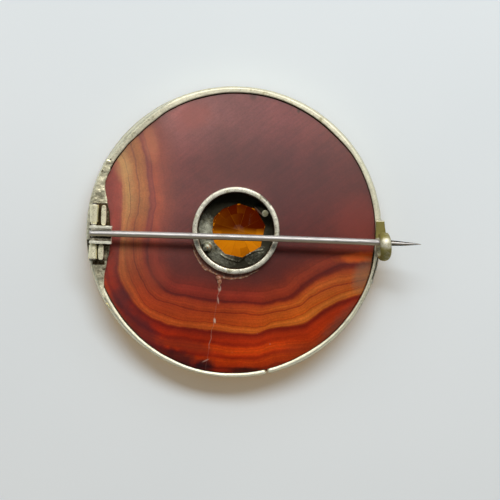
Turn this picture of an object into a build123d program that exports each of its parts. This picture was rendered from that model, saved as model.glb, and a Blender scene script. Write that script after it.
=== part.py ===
from build123d import *
import os
from math import cos, radians, sin, tan

# An agate brooch that lies on its face, so its back, with the pin, looks up along +Z.
# The origin is on the axis of the disc, at the surface that the front setting rests on.
# +X runs from the hinge to the catch. All sizes are in millimetres.

# Heights above the surface
rim_bottom = 1.55
rim_top = 4.95
lip_thickness = 0.35
seam_gap = 0.02

# Bezel band, a slightly oval hand-made strip that leans inwards towards the back
band_front_x = 22.5
band_front_y = 22.2
band_lean = 0.4
band_rounding = 0.16
front_lip_radius = 20.9
seam_angle = 283
seam_width = 0.2
seam_depth = 0.3

# Inner edge of the back lip, which was pressed down by hand: angle from +X, radius
lip_edge = (
    (0, 21.28),
    (30, 21.28),
    (60, 20.98),
    (90, 20.92),
    (110, 20.74),
    (127, 20.48),
    (150, 20.76),
    (180, 21.0),
    (210, 21.14),
    (240, 21.22),
    (270, 21.27),
    (300, 21.16),
    (330, 21.32),
)

# Agate disc
agate_radius = 21.5
agate_bevel = 0.3

# Collar round the middle setting
collar_x = 0.315
collar_y = 0.15
collar_radius = 6.5
collar_wall = 0.75
collar_top = 5.45
collar_rounding = 0.18

# Citrine, a round brilliant with its table towards the front
stone_x = 0.75
stone_y = 0.18
stone_turn = 5
girdle_radius = 4.2
table_height = 0.3
girdle_low = 1.45
girdle_high = 1.65
crown_main_angle = 34.5
crown_star_angle = 21
crown_girdle_angle = 41
star_radius = 2.62
pavilion_main_angle = 39
pavilion_girdle_angle = 41.5
main_facets = 8

# Front setting that holds the citrine
foot_inner_radius = 4.6
foot_outer_radius = 5.2
collet_radius = 5.6
flange_radius = 7.4
flange_bottom = 1.2
stone_clearance = 0.14
lip_height = 1.04
seat_bottom = 2.2
seat_top = 2.5

# Corners of the opening that was sawn in the seat plate: angle, radius
opening_corners = (
    (11, 4.05),
    (52, 4.15),
    (90, 4.12),
    (127, 4.1),
    (153, 4.3),
    (180, 4.0),
    (205, 4.15),
    (239, 4.1),
    (277, 4.1),
    (324, 4.1),
)

# Wire prongs of the setting, from foot to tip: x, y, z
prong_radius = 0.42
prong_root = 0.2
prong_lines = (
    ((3.42, 3.85, seat_top), (4.55, 2.74, 4.95)),
    ((-4.05, -2.38, seat_top), (-4.2, -2.47, 3.9)),
)

# Hinge: where its wire crosses the pin, and how far the hinge is turned about +Z
hinge_x = -20.97
hinge_y = -0.295
hinge_z = 5.75
hinge_turn = -1.9
hinge_wire_radius = 0.35
knuckle_radius = 0.675
knuckle_bore = 0.37
knuckle_spans = ((1.72, 4.36), (-3.8, -1.72))
saddle_width = 0.9
wire_overhang = 0.1
wire_low = knuckle_spans[1][0] - wire_overhang
wire_high = knuckle_spans[0][1] + wire_overhang

# Upright fence strips beside the knuckles, in the turned frame of the hinge: x span, y span
fence_top = 5.95
fence_rounding = 0.28
fence_strips = (
    (1.17, 1.77, 1.36, 4.25),
    (0.9, 1.55, -3.95, -1.68),
)

# Crescent leaf under the hinge: its inner edge, from one tip to the other
leaf_bottom = 4.66
leaf_top = 5.05
leaf_outside_x = -23
leaf_inset = 0.05
leaf_inner_edge = (
    (-18.95, 10.5),
    (-19.15, 8.5),
    (-19.25, 6.6),
    (-18.95, 4.5),
    (-18.57, 2.6),
    (-18.5, -0.2),
    (-18.6, -2.9),
    (-19.02, -4.6),
    (-19.4, -6.6),
    (-19.3, -8.4),
    (-18.95, -10.9),
)

# U-shaped root of the pin, in the turned frame of the hinge
channel_low_y = -1.5
channel_high_y = 1.2
channel_wall = 0.42
channel_end = 2.76
channel_top = 6.9
channel_heel = 0.65
channel_bore = 0.4
channel_back = -0.23
bridge_start = 0.55
bridge_thickness = 0.4
cheek_bottom = 5.3
cheek_rounding = 0.12

# Pin wire: distance along the pin from the hinge axis, radius
pin_height = 6.6
pin_rise = 0.6
pin_rise_length = 43.5
pin_start = -0.6
pin_profile = (
    (pin_start, 0.47),
    (42.0, 0.47),
    (44.4, 0.41),
    (47.4, 0.23),
    (48.6, 0.11),
    (48.95, 0.03),
)

# Catch: a strip along the rim that curls into a C hook open towards +Y
catch_x = 22.0
catch_turn = 3
strip_width = 1.45
strip_thickness = 0.5
strip_end_y = 1.75
solder_depth = 0.1
hook_shift = 0.3
hook_width = 1.66
hook_radius = 1.95
hook_flat = 0.5
hook_wall = 0.62
hook_low_y = -4.46
hook_mouth_angle = 12

os.makedirs("parts", exist_ok=True)


def polar(radius, angle):
    """A point at this radius and this angle from +X."""
    return (radius * cos(radians(angle)), radius * sin(radians(angle)))


def cut_facets(count, first, radius, height, tilt, up):
    """Cut a ring of facets on the stone. Each crosses this radius and height, tilted from level."""
    for number in range(count):
        azimuth = first + number * 360 / count
        x, y = polar(radius, azimuth)
        nx, ny = polar(sin(radians(tilt)), azimuth)
        nz = cos(radians(tilt)) if up else -cos(radians(tilt))
        facet = Plane(origin=(stone_x + x, stone_y + y, height), z_dir=(nx, ny, nz))
        split(bisect_by=facet, keep=Keep.BOTTOM)


def finish(builder, name):
    """Label a finished piece and write it."""
    builder.part.label = name
    export_step(builder.part, f"parts/{name}.step")


hinge_frame = Plane(
    origin=(hinge_x, hinge_y, 0),
    x_dir=(*polar(1, hinge_turn), 0),
    z_dir=(0, 0, 1),
)
catch_frame = Plane(
    origin=(catch_x, 0, 0),
    x_dir=(*polar(1, catch_turn), 0),
    z_dir=(0, 0, 1),
)


def turned(frame, x, y, z=0):
    """A point of a turned frame, in the part's own frame."""
    return frame.from_local_coords(Vector(x, y, z))


def level_at(frame, x, y, z):
    """A level plane at a point of a turned frame, turned with it."""
    return Plane(turned(frame, x, y, z), frame.x_dir, (0, 0, 1))


def across_hinge(y):
    """The plane across the hinge axis, at this distance along it from the pin."""
    return Plane(turned(hinge_frame, 0, y, hinge_z), hinge_frame.x_dir, hinge_frame.y_dir)


# Rim: the band, its lips and everything soldered to it
with BuildPart() as rim:
    # The band is oval and a little wider at the front than at the back
    with BuildSketch(Plane.XY.offset(rim_bottom)):
        Ellipse(band_front_x, band_front_y)
    with BuildSketch(Plane.XY.offset(rim_top)):
        Ellipse(band_front_x - band_lean, band_front_y - band_lean)
    loft(ruled=True)
    fillet(rim.edges().filter_by(GeomType.ELLIPSE), band_rounding)
    # Room for the agate between the two lips
    with BuildSketch(Plane.XY.offset(rim_bottom + lip_thickness)):
        Circle(agate_radius + seam_gap)
    extrude(amount=rim_top - rim_bottom - 2 * lip_thickness, mode=Mode.SUBTRACT)
    with BuildSketch(Plane.XY.offset(rim_bottom)):
        Circle(front_lip_radius)
    extrude(amount=lip_thickness, mode=Mode.SUBTRACT)
    with BuildSketch(Plane.XY.offset(rim_top - lip_thickness)):
        with BuildLine():
            Spline(*[polar(radius, angle) for angle, radius in lip_edge], periodic=True)
        make_face()
    extrude(amount=lip_thickness, mode=Mode.SUBTRACT)
    # The open seam where the ends of the band meet
    seam_x, seam_y = polar(band_front_x, seam_angle)
    seam_plane = Plane(origin=(seam_x, seam_y, rim_top), x_dir=(*polar(1, seam_angle), 0), z_dir=(0, 0, 1))
    with BuildSketch(seam_plane):
        Rectangle(2 * (band_front_x - front_lip_radius), seam_width)
    extrude(amount=-seam_depth, mode=Mode.SUBTRACT)

    # Crescent leaf, cut to the outline of the band
    with BuildSketch(Plane.XY.offset(leaf_bottom)):
        with BuildLine():
            inner = Spline(*leaf_inner_edge)
            Polyline(inner @ 1, (leaf_outside_x, (inner @ 1).Y), (leaf_outside_x, (inner @ 0).Y), inner @ 0)
        make_face()
        Ellipse(
            band_front_x - band_lean - leaf_inset,
            band_front_y - band_lean - leaf_inset,
            mode=Mode.INTERSECT,
        )
    extrude(amount=leaf_top - leaf_bottom)

    # Knuckles on low saddles of solder, bored for the hinge wire
    for start, end in knuckle_spans:
        with BuildSketch(level_at(hinge_frame, 0, (start + end) / 2, leaf_bottom)):
            Rectangle(saddle_width, end - start)
        extrude(amount=hinge_z - leaf_bottom)
        with BuildSketch(across_hinge(start)):
            Circle(knuckle_radius)
        extrude(amount=end - start)
    with BuildSketch(across_hinge(wire_low)):
        Circle(knuckle_bore)
    extrude(amount=wire_high - wire_low, mode=Mode.SUBTRACT)

    # Fence strips, rounded at both ends
    for x_low, x_high, y_low, y_high in fence_strips:
        with BuildSketch(level_at(hinge_frame, (x_low + x_high) / 2, (y_low + y_high) / 2, leaf_bottom)):
            RectangleRounded(x_high - x_low, y_high - y_low, fence_rounding)
        extrude(amount=fence_top - leaf_bottom)

    # Catch strip on the back lip
    strip_length = strip_end_y - (hook_low_y + hook_radius)
    strip_middle = strip_end_y - strip_length / 2
    hook_bottom = rim_top - solder_depth
    with BuildSketch(level_at(catch_frame, 0, strip_middle, hook_bottom)):
        Rectangle(strip_width, strip_length)
    extrude(amount=strip_thickness + solder_depth)

    # C hook, drawn in the plane that the strip stands in
    hook_middle_z = hook_bottom + hook_radius
    low_centre_y = hook_low_y + hook_radius
    high_centre_y = low_centre_y + hook_flat
    hook_plane = Plane(
        origin=turned(catch_frame, hook_shift - hook_width / 2, 0, 0),
        x_dir=catch_frame.y_dir,
        z_dir=catch_frame.x_dir,
    )
    inner_radius = hook_radius - hook_wall
    mouth_y, mouth_z = polar(1, hook_mouth_angle)
    with BuildSketch(hook_plane):
        with BuildLine():
            Line((strip_middle, hook_bottom), (low_centre_y, hook_bottom))
            CenterArc((low_centre_y, hook_middle_z), hook_radius, 270, -180)
            Line(
                (low_centre_y, hook_middle_z + hook_radius),
                (high_centre_y, hook_middle_z + hook_radius),
            )
            CenterArc((high_centre_y, hook_middle_z), hook_radius, 90, hook_mouth_angle - 90)
            Line(
                (high_centre_y + hook_radius * mouth_y, hook_middle_z + hook_radius * mouth_z),
                (high_centre_y + inner_radius * mouth_y, hook_middle_z + inner_radius * mouth_z),
            )
            CenterArc((high_centre_y, hook_middle_z), inner_radius, hook_mouth_angle, 90 - hook_mouth_angle)
            Line(
                (high_centre_y, hook_middle_z + inner_radius),
                (low_centre_y, hook_middle_z + inner_radius),
            )
            CenterArc((low_centre_y, hook_middle_z), inner_radius, 90, 180)
            Line((low_centre_y, hook_middle_z - inner_radius), (strip_middle, hook_middle_z - inner_radius))
            Line((strip_middle, hook_middle_z - inner_radius), (strip_middle, hook_bottom))
        make_face()
    extrude(amount=hook_width)
finish(rim, "rim")

# Agate disc: a bevelled slice with a hole for the collar
with BuildPart() as agate_disc:
    agate_bottom = rim_bottom + lip_thickness + seam_gap
    agate_top = rim_top - lip_thickness - seam_gap
    with BuildSketch(Plane.XY.offset(agate_bottom)):
        Circle(agate_radius)
    extrude(amount=agate_top - agate_bottom)
    chamfer(agate_disc.edges().filter_by(GeomType.CIRCLE), agate_bevel)
    with BuildSketch(Plane.XY.offset(agate_bottom)):
        with Locations((collar_x, collar_y)):
            Circle(collar_radius + seam_gap)
    extrude(amount=agate_top - agate_bottom, mode=Mode.SUBTRACT)
finish(agate_disc, "agate_disc")

# Collar ring: the tube that lines the hole
with BuildPart() as collar_ring:
    flange_top = rim_bottom + lip_thickness
    with BuildSketch(Plane.XY.offset(flange_top + seam_gap)):
        with Locations((collar_x, collar_y)):
            Circle(collar_radius)
            Circle(collar_radius - collar_wall, mode=Mode.SUBTRACT)
    extrude(amount=collar_top - flange_top - seam_gap)
    fillet(collar_ring.edges().group_by(Axis.Z)[-1], collar_rounding)
finish(collar_ring, "collar_ring")

# Stone setting: collet and flange, seat plate and prongs
with BuildPart() as stone_setting:
    cavity_radius = girdle_radius + stone_clearance
    lip_radius = cavity_radius - (girdle_low - lip_height) / tan(radians(crown_main_angle))
    with BuildSketch(Plane.XZ.offset(-stone_y)):
        with BuildLine():
            Polyline(
                (stone_x + foot_inner_radius, 0),
                (stone_x + foot_outer_radius, 0),
                (stone_x + collet_radius, flange_bottom),
                (stone_x + flange_radius, flange_bottom),
                (stone_x + flange_radius, flange_top),
                (stone_x + cavity_radius, flange_top),
                (stone_x + cavity_radius, girdle_low),
                (stone_x + lip_radius, lip_height),
                close=True,
            )
        make_face()
    revolve(axis=Axis((stone_x, stone_y, 0), (0, 0, 1)))
    with BuildSketch(Plane.XY.offset(flange_top)):
        with Locations((collar_x, collar_y)):
            Circle(collar_radius - collar_wall - seam_gap)
    extrude(amount=seat_top - flange_top)
    with BuildSketch(Plane.XY.offset(girdle_low)):
        with Locations((stone_x, stone_y)):
            Circle(cavity_radius)
    extrude(amount=seat_bottom - girdle_low, mode=Mode.SUBTRACT)
    with BuildSketch(Plane.XY.offset(seat_bottom)):
        with BuildLine():
            corners = [polar(radius, angle) for angle, radius in opening_corners]
            Polyline(*[(stone_x + x, stone_y + y) for x, y in corners], close=True)
        make_face()
    extrude(amount=seat_top - seat_bottom, mode=Mode.SUBTRACT)
    for foot, tip in prong_lines:
        along = Vector(*tip) - Vector(*foot)
        root = Vector(*foot) - along.normalized() * prong_root
        with BuildSketch(Plane(origin=root, z_dir=along)):
            Circle(prong_radius)
        extrude(amount=along.length + prong_root)
finish(stone_setting, "stone_setting")

# Citrine: a sixteen-sided girdle, cut down to a table, a crown and a pavilion
with BuildPart() as citrine:
    side_count = 2 * main_facets
    main_step = 360 / main_facets
    flat_radius = girdle_radius * cos(radians(180 / side_count))
    stone_height = girdle_high + girdle_radius * tan(radians(pavilion_girdle_angle))
    with BuildSketch(Plane.XY.offset(table_height)):
        with Locations(Location((stone_x, stone_y, 0), (0, 0, stone_turn))):
            RegularPolygon(girdle_radius, side_count)
    extrude(amount=stone_height - table_height)
    cut_facets(main_facets, stone_turn, girdle_radius, girdle_low, crown_main_angle, False)
    cut_facets(main_facets, stone_turn, girdle_radius, girdle_high, pavilion_main_angle, True)
    cut_facets(main_facets, stone_turn + main_step / 2, star_radius, table_height, crown_star_angle, False)
    cut_facets(side_count, stone_turn + main_step / 4, flat_radius, girdle_low, crown_girdle_angle, False)
    cut_facets(side_count, stone_turn + main_step / 4, flat_radius, girdle_high, pavilion_girdle_angle, True)
finish(citrine, "citrine")

# Hinge wire: tight in the knuckles, a little proud at both ends
with BuildPart() as hinge_wire:
    with BuildSketch(across_hinge(wire_low)):
        Circle(hinge_wire_radius)
    extrude(amount=wire_high - wire_low)
finish(hinge_wire, "hinge_wire")

# Pin channel: two cheeks with round heels, joined by a bridge under the pin
with BuildPart() as pin_channel:
    pin_radius = pin_profile[0][1]
    bridge_top = pin_height - pin_radius - seam_gap
    side_plane = Plane(turned(hinge_frame, 0, channel_high_y), hinge_frame.x_dir, -hinge_frame.y_dir)
    channel_width = channel_high_y - channel_low_y
    for inset in (0, channel_width - channel_wall):
        with BuildSketch(side_plane.offset(inset)):
            with Locations((0, hinge_z)):
                Circle(channel_heel)
            with BuildLine():
                Polyline(
                    (channel_back, hinge_z),
                    (channel_back, channel_top),
                    (channel_end, channel_top),
                    (channel_end, cheek_bottom),
                    (0, hinge_z - channel_heel),
                    close=True,
                )
            make_face()
            with Locations((0, hinge_z)):
                Circle(channel_bore, mode=Mode.SUBTRACT)
        extrude(amount=channel_wall)
    with BuildSketch(side_plane):
        with Locations(((bridge_start + channel_end) / 2, bridge_top - bridge_thickness / 2)):
            Rectangle(channel_end - bridge_start, bridge_thickness)
    extrude(amount=channel_width)
    fillet(pin_channel.edges().group_by(Axis.Z)[-1], cheek_rounding)
finish(pin_channel, "pin_channel")

# Pin wire: round, straight and ground to a point, rising a little towards the catch
with BuildPart() as pin_wire:
    pin_origin = turned(hinge_frame, 0, 0, pin_height)
    pin_end = turned(hinge_frame, pin_rise_length, 0, pin_height + pin_rise)
    pin_direction = (pin_end - pin_origin).normalized()
    with BuildSketch(Plane(pin_origin, pin_direction, -hinge_frame.y_dir)):
        with BuildLine():
            Polyline(
                (pin_start, 0),
                *pin_profile,
                (pin_profile[-1][0], 0),
                close=True,
            )
        make_face()
    revolve(axis=Axis(pin_origin, pin_direction))
finish(pin_wire, "pin_wire")
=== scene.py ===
import math
import bpy
import numpy as np
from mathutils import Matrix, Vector, noise


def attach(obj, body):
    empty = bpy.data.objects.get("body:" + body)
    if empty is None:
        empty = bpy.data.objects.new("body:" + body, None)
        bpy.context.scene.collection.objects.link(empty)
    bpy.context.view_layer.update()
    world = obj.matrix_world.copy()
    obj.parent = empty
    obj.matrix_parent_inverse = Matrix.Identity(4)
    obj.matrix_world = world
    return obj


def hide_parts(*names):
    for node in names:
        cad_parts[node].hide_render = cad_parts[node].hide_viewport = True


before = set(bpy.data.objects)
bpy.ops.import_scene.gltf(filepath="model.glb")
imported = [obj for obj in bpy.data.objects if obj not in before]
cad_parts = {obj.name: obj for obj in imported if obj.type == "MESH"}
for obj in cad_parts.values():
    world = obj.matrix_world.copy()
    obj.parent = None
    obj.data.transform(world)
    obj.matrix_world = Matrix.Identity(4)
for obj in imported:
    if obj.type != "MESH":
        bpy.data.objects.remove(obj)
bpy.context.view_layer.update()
print("frame loaded:", ", ".join(sorted(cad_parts)))

# Everything is modelled in millimetres, and each finished piece is then brought down to metres
mm = 0.001


# Small tools

# From 0 at the start to 1 at the end, with soft ends
def smooth(start, end, value):
    share = min(1.0, max(0.0, (value - start) / (end - start)))
    return share * share * (3 - 2 * share)


# A table of places and values, read at any place between them
def fromTable(table, value):
    for (lowPlace, lowValue), (highPlace, highValue) in zip(table, table[1:]):
        if lowPlace <= value <= highPlace:
            return lowValue + (highValue - lowValue) * smooth(lowPlace, highPlace, value)
    return table[-1][1]


# How near a spot is to the middle of an oval: 1 there and 0 at its edge
def nearness(x, y, middleX, middleY, wide, high):
    return max(0.0, 1 - math.hypot((x - middleX) / wide, (y - middleY) / high))


def putDown():
    if bpy.context.object and bpy.context.object.mode == "EDIT":
        bpy.ops.object.mode_set(mode="OBJECT")
    bpy.ops.object.select_all(action="DESELECT")


def takeUp(piece):
    putDown()
    piece.select_set(True)
    bpy.context.view_layer.objects.active = piece


def addShape(operator, **settings):
    putDown()
    operator(**settings)
    return bpy.context.object


def pullOut(x, y, z):
    bpy.ops.mesh.extrude_region_move(TRANSFORM_OT_translate={"value": (x, y, z)})


def editPiece(piece):
    takeUp(piece)
    bpy.ops.object.mode_set(mode="EDIT")
    bpy.ops.mesh.select_all(action="SELECT")


# A corner is drawn on into a line, point by point, as with extrude and the mouse
def drawLine(points, closed=False, filled=False):
    piece = addShape(bpy.ops.mesh.primitive_plane_add, size=1, location=(0, 0, 0))
    bpy.ops.object.mode_set(mode="EDIT")
    bpy.ops.mesh.select_mode(type="VERT")
    bpy.ops.mesh.merge(type="CENTER")
    bpy.ops.transform.translate(value=points[0])
    for start, end in zip(points, points[1:]):
        pullOut(*(Vector(end) - Vector(start)))
    if closed:
        bpy.ops.mesh.select_all(action="SELECT")
        bpy.ops.mesh.edge_face_add()
        if not filled:
            bpy.ops.mesh.delete(type="ONLY_FACE")
    return piece


def tidyMesh(piece):
    editPiece(piece)
    bpy.ops.mesh.remove_doubles(threshold=0.002)
    bpy.ops.mesh.normals_make_consistent(inside=False)
    bpy.ops.object.mode_set(mode="OBJECT")


# A closed section in the XZ plane is spun round the Z axis, all the way or nearly
def spinSection(section, steps, angle=2 * math.pi):
    whole = angle == 2 * math.pi
    piece = drawLine([(r, 0, z) for r, z in section], closed=True, filled=not whole)
    bpy.ops.mesh.select_all(action="SELECT")
    bpy.ops.mesh.spin(steps=steps, angle=angle, center=(0, 0, 0), axis=(0, 0, 1))
    tidyMesh(piece)
    return piece


def reshape(piece, rule):
    for corner in piece.data.vertices:
        corner.co = rule(corner.co)


def modify(piece, kind, **settings):
    takeUp(piece)
    step = piece.modifiers.new(kind.title(), kind)
    for name, value in settings.items():
        setattr(step, name, value)
    bpy.ops.object.modifier_apply(modifier=step.name)


def roughen(piece, size, depth):
    texture = bpy.data.textures.new("clouds", "CLOUDS")
    texture.noise_scale = size
    texture.noise_depth = 2
    modify(piece, "DISPLACE", texture=texture, texture_coords="LOCAL", strength=depth, mid_level=0.5)


# Dirt that gathers in the shape, and in places painted shade: a rule gives each corner's share from its place
# in millimetres
def markGrimeAndShade(piece, rule):
    shares = [rule(corner.co) for corner in piece.data.vertices]
    piece.data.attributes.new("grimeAndShade", "FLOAT", "POINT").data.foreach_set("value", shares)


def joinPieces(pieces):
    putDown()
    for piece in pieces:
        piece.select_set(True)
    bpy.context.view_layer.objects.active = pieces[0]
    bpy.ops.object.transform_apply(location=True, rotation=True, scale=True)
    bpy.ops.object.join()
    return pieces[0]


# A closed outline is pulled out into a bar
def makeBar(outline, way):
    bar = drawLine(outline, closed=True, filled=True)
    bpy.ops.mesh.select_all(action="SELECT")
    pullOut(*way)
    tidyMesh(bar)
    return bar


def drillHole(piece, radius, depth, place, rotation):
    drill = addShape(
        bpy.ops.mesh.primitive_cylinder_add, vertices=32, radius=radius, depth=depth, location=place,
        rotation=rotation,
    )
    modify(piece, "BOOLEAN", operation="DIFFERENCE", object=drill, solver="EXACT")
    bpy.data.objects.remove(drill)


# Overlapping parts flow into one soldered skin
def solder(pieces, grain, softness):
    piece = joinPieces(pieces)
    modify(piece, "REMESH", mode="VOXEL", voxel_size=grain, use_smooth_shade=True)
    modify(piece, "SMOOTH", factor=0.5, iterations=softness)
    return piece


def finishPiece(piece, name, body, material, replaced=(), angle=50):
    takeUp(piece)
    bpy.ops.object.transform_apply(location=True, rotation=True, scale=True)
    piece.scale = (mm, mm, mm)
    bpy.ops.object.transform_apply(location=True, rotation=True, scale=True)
    bpy.ops.object.shade_smooth_by_angle(angle=math.radians(angle))
    piece.name = name
    piece.data.name = name
    piece.data.materials.clear()
    piece.data.materials.append(material)
    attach(piece, body)
    if replaced:
        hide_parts(*replaced)
    print("piece", name, "with", len(piece.data.polygons), "faces")
    return piece


# Node tools

def newMaterial(name):
    material = bpy.data.materials.new(name)
    material.use_nodes = True
    tree = material.node_tree
    return material, tree, tree.nodes["Principled BSDF"]


# A socket takes a link or a fixed value, and a colour needs no fourth number
def feed(tree, socket, value):
    if isinstance(value, bpy.types.NodeSocket):
        tree.links.new(value, socket)
    elif socket.type == "RGBA" and len(value) == 3:
        socket.default_value = (*value, 1)
    else:
        socket.default_value = value


def addNode(tree, kind, settings=None, **inputs):
    node = tree.nodes.new("ShaderNode" + kind)
    for name, value in (settings or {}).items():
        setattr(node, name, value)
    for name, value in inputs.items():
        feed(tree, node.inputs[name], value)
    return node


# The place on the piece in millimetres, stretched and turned as asked
def placeOn(tree, stretch=(1, 1, 1), turn=0, middle=(0, 0, 0)):
    coords = addNode(tree, "TexCoord").outputs["Object"]
    shifted = addNode(tree, "VectorMath", {"operation": "MULTIPLY_ADD"})
    feed(tree, shifted.inputs[0], coords)
    shifted.inputs[1].default_value = (1 / mm,) * 3
    shifted.inputs[2].default_value = [-m for m in middle]
    turned = addNode(tree, "Mapping", Vector=shifted.outputs[0], Rotation=(0, 0, math.radians(-turn)))
    return addNode(tree, "Mapping", Vector=turned.outputs[0], Scale=stretch).outputs[0]


def clouds(tree, place, scale, detail=3.0, rough=0.5):
    return addNode(tree, "TexNoise", Vector=place, Scale=scale, Detail=detail, Roughness=rough).outputs[0]


def calc(tree, operation, first, second=0.0, third=None):
    node = addNode(tree, "Math", {"operation": operation})
    feed(tree, node.inputs[0], first)
    feed(tree, node.inputs[1], second)
    if third is not None:
        feed(tree, node.inputs[2], third)
    return node.outputs[0]


# Noise that swings evenly about nought
def jitter(tree, place, amount, scale, detail=3.0, rough=0.5):
    return calc(tree, "MULTIPLY_ADD", clouds(tree, place, scale, detail, rough), amount, -amount / 2)


def readMark(tree, name):
    return addNode(tree, "Attribute", {"attribute_name": name}).outputs["Fac"]


def fade(tree, value, low, high, start=0.0, end=1.0):
    node = addNode(tree, "MapRange", {"interpolation_type": "SMOOTHSTEP"}, Value=value)
    for name, number in (("From Min", low), ("From Max", high), ("To Min", start), ("To Max", end)):
        feed(tree, node.inputs[name], number)
    return node.outputs[0]


def mixColours(tree, share, first, second, kind="MIX"):
    node = addNode(tree, "Mix", {"data_type": "RGBA", "blend_type": kind})
    feed(tree, node.inputs[0], share)
    feed(tree, node.inputs[6], first)
    feed(tree, node.inputs[7], second)
    return node.outputs[2]


def tint(tree, tone, factor):
    return mixColours(tree, 1.0, tone, factor, "MULTIPLY")


def colourRamp(tree, value, stops, low=0.0, high=1.0):
    share = calc(tree, "MULTIPLY_ADD", value, 1 / (high - low), -low / (high - low))
    node = addNode(tree, "ValToRGB", Fac=share)
    points = node.color_ramp.elements
    for number, (place, colour) in enumerate(stops):
        point = points[number] if number < 2 else points.new(1.0)
        point.position = (place - low) / (high - low)
        point.color = (*colour, 1)
    return node.outputs[0]


def bumpBy(tree, height, strength, distance, under=None):
    node = addNode(tree, "Bump", Height=height, Strength=strength, Distance=distance * mm)
    if under is not None:
        feed(tree, node.inputs["Normal"], under)
    return node.outputs[0]


# Metals: tarnish in patches, dirt and painted shade where the mark puts them, scuffs on what stands out

silverLooks = dict(
    clean=(0.86, 0.82, 0.63),
    olive=(0.46, 0.42, 0.24),
    dirt=(0.045, 0.038, 0.022),
    fleck=(0.24, 0.21, 0.12),
    patchSize=1.4,  # millimetres
    scuffScale=9.0,
    frost=0.55,
)


def silverMaterial(name, tarnish=0.5, rough=0.52, scuff=0.15, lumps=0.2, flecks=0.4, **colours):
    material, tree, surface = newMaterial(name)
    clean, olive, dirt = [colours.get(part, silverLooks[part]) for part in ("clean", "olive", "dirt")]
    place = placeOn(tree)
    patches = clouds(tree, place, 1 / silverLooks["patchSize"], 5.0, 0.62)
    fine = clouds(tree, place, silverLooks["scuffScale"], 4.0, 0.6)
    strokes = clouds(tree, placeOn(tree, (1.2, 9.0, 3.0), 35), 1.0, 3.0, 0.6)
    share = fade(tree, patches, 0.62 - 0.3 * tarnish, 0.85 - 0.3 * tarnish)
    tone = mixColours(tree, share, clean, olive)
    tone = tint(tree, tone, fade(tree, strokes, 0.3, 0.75, 0.88, 1.04))
    spots = clouds(tree, placeOn(tree, (1, 1.6, 1), 50), 3.6, 4.0, 0.65)
    tone = mixColours(tree, fade(tree, spots, 0.55, 0.66, 0.0, flecks), tone, silverLooks["fleck"])
    grimeAndShade = readMark(tree, "grimeAndShade")
    # Below nought the mark means metal worn bare, which is pale and frosted
    bare = fade(tree, grimeAndShade, -0.5, 0.0, 1.0, 0.0)
    grimeAndShade = fade(tree, calc(tree, "ADD", grimeAndShade, jitter(tree, place, 0.7, 2.6, 4.0, 0.6)), 0.2, 0.85)
    # The dark colour is dirt, and painted shade where a rule marks shade
    tone = mixColours(tree, grimeAndShade, tone, dirt)
    feed(tree, surface.inputs["Base Color"], tone)
    feed(tree, surface.inputs["Metallic"], calc(tree, "MULTIPLY_ADD", bare, -silverLooks["frost"], 1.0))
    gloss = calc(tree, "MULTIPLY_ADD", fine, scuff, rough - scuff / 2)
    gloss = calc(tree, "MULTIPLY_ADD", share, 0.08, gloss)
    feed(tree, surface.inputs["Roughness"], calc(tree, "MULTIPLY_ADD", grimeAndShade, 0.15, gloss))
    relief = bumpBy(tree, clouds(tree, place, 1.7, 3.0, 0.55), lumps, 0.08)
    relief = bumpBy(tree, strokes, 0.2, 0.02, relief)
    relief = bumpBy(tree, fine, 0.2, 0.012, relief)
    feed(tree, surface.inputs["Normal"], relief)
    return material


steelLooks = dict(
    clean=(0.52, 0.50, 0.49),
    streak=(0.16, 0.145, 0.13),
    blot=(0.36, 0.31, 0.24),
    olive=(0.56, 0.49, 0.36),
    blackFlatsAndShade=(0.025, 0.022, 0.02),
    drawnAt=-1.9,  # degrees, the way that the pin lies
)


def steelMaterial(name):
    material, tree, surface = newMaterial(name)
    streaks = clouds(tree, placeOn(tree, (0.5, 7.0, 7.0), steelLooks["drawnAt"]), 1.0, 4.0, 0.65)
    blots = clouds(tree, placeOn(tree, (0.9, 1.6, 1.6)), 1.0, 3.0, 0.6)
    tone = mixColours(tree, fade(tree, streaks, 0.56, 0.72), steelLooks["clean"], steelLooks["streak"])
    tone = mixColours(tree, fade(tree, blots, 0.6, 0.75, 0.0, 0.5), tone, steelLooks["blot"])
    # The lower side has an olive film that is partly painted shade; its lower edge, with painted shade, and
    # the flats ground at the point are nearly black
    grimeAndShade = readMark(tree, "grimeAndShade")
    tone = mixColours(tree, fade(tree, grimeAndShade, 0.1, 0.5), tone, steelLooks["olive"])
    tone = mixColours(tree, fade(tree, grimeAndShade, 0.6, 1.0), tone, steelLooks["blackFlatsAndShade"])
    feed(tree, surface.inputs["Base Color"], tone)
    surface.inputs["Metallic"].default_value = 1.0
    feed(tree, surface.inputs["Roughness"], fade(tree, streaks, 0.35, 0.75, 0.5, 0.64))
    feed(tree, surface.inputs["Normal"], bumpBy(tree, streaks, 0.3, 0.03))
    return material


# Agate: its bands follow four lines of the stone, from the top left down and round to the right

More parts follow.
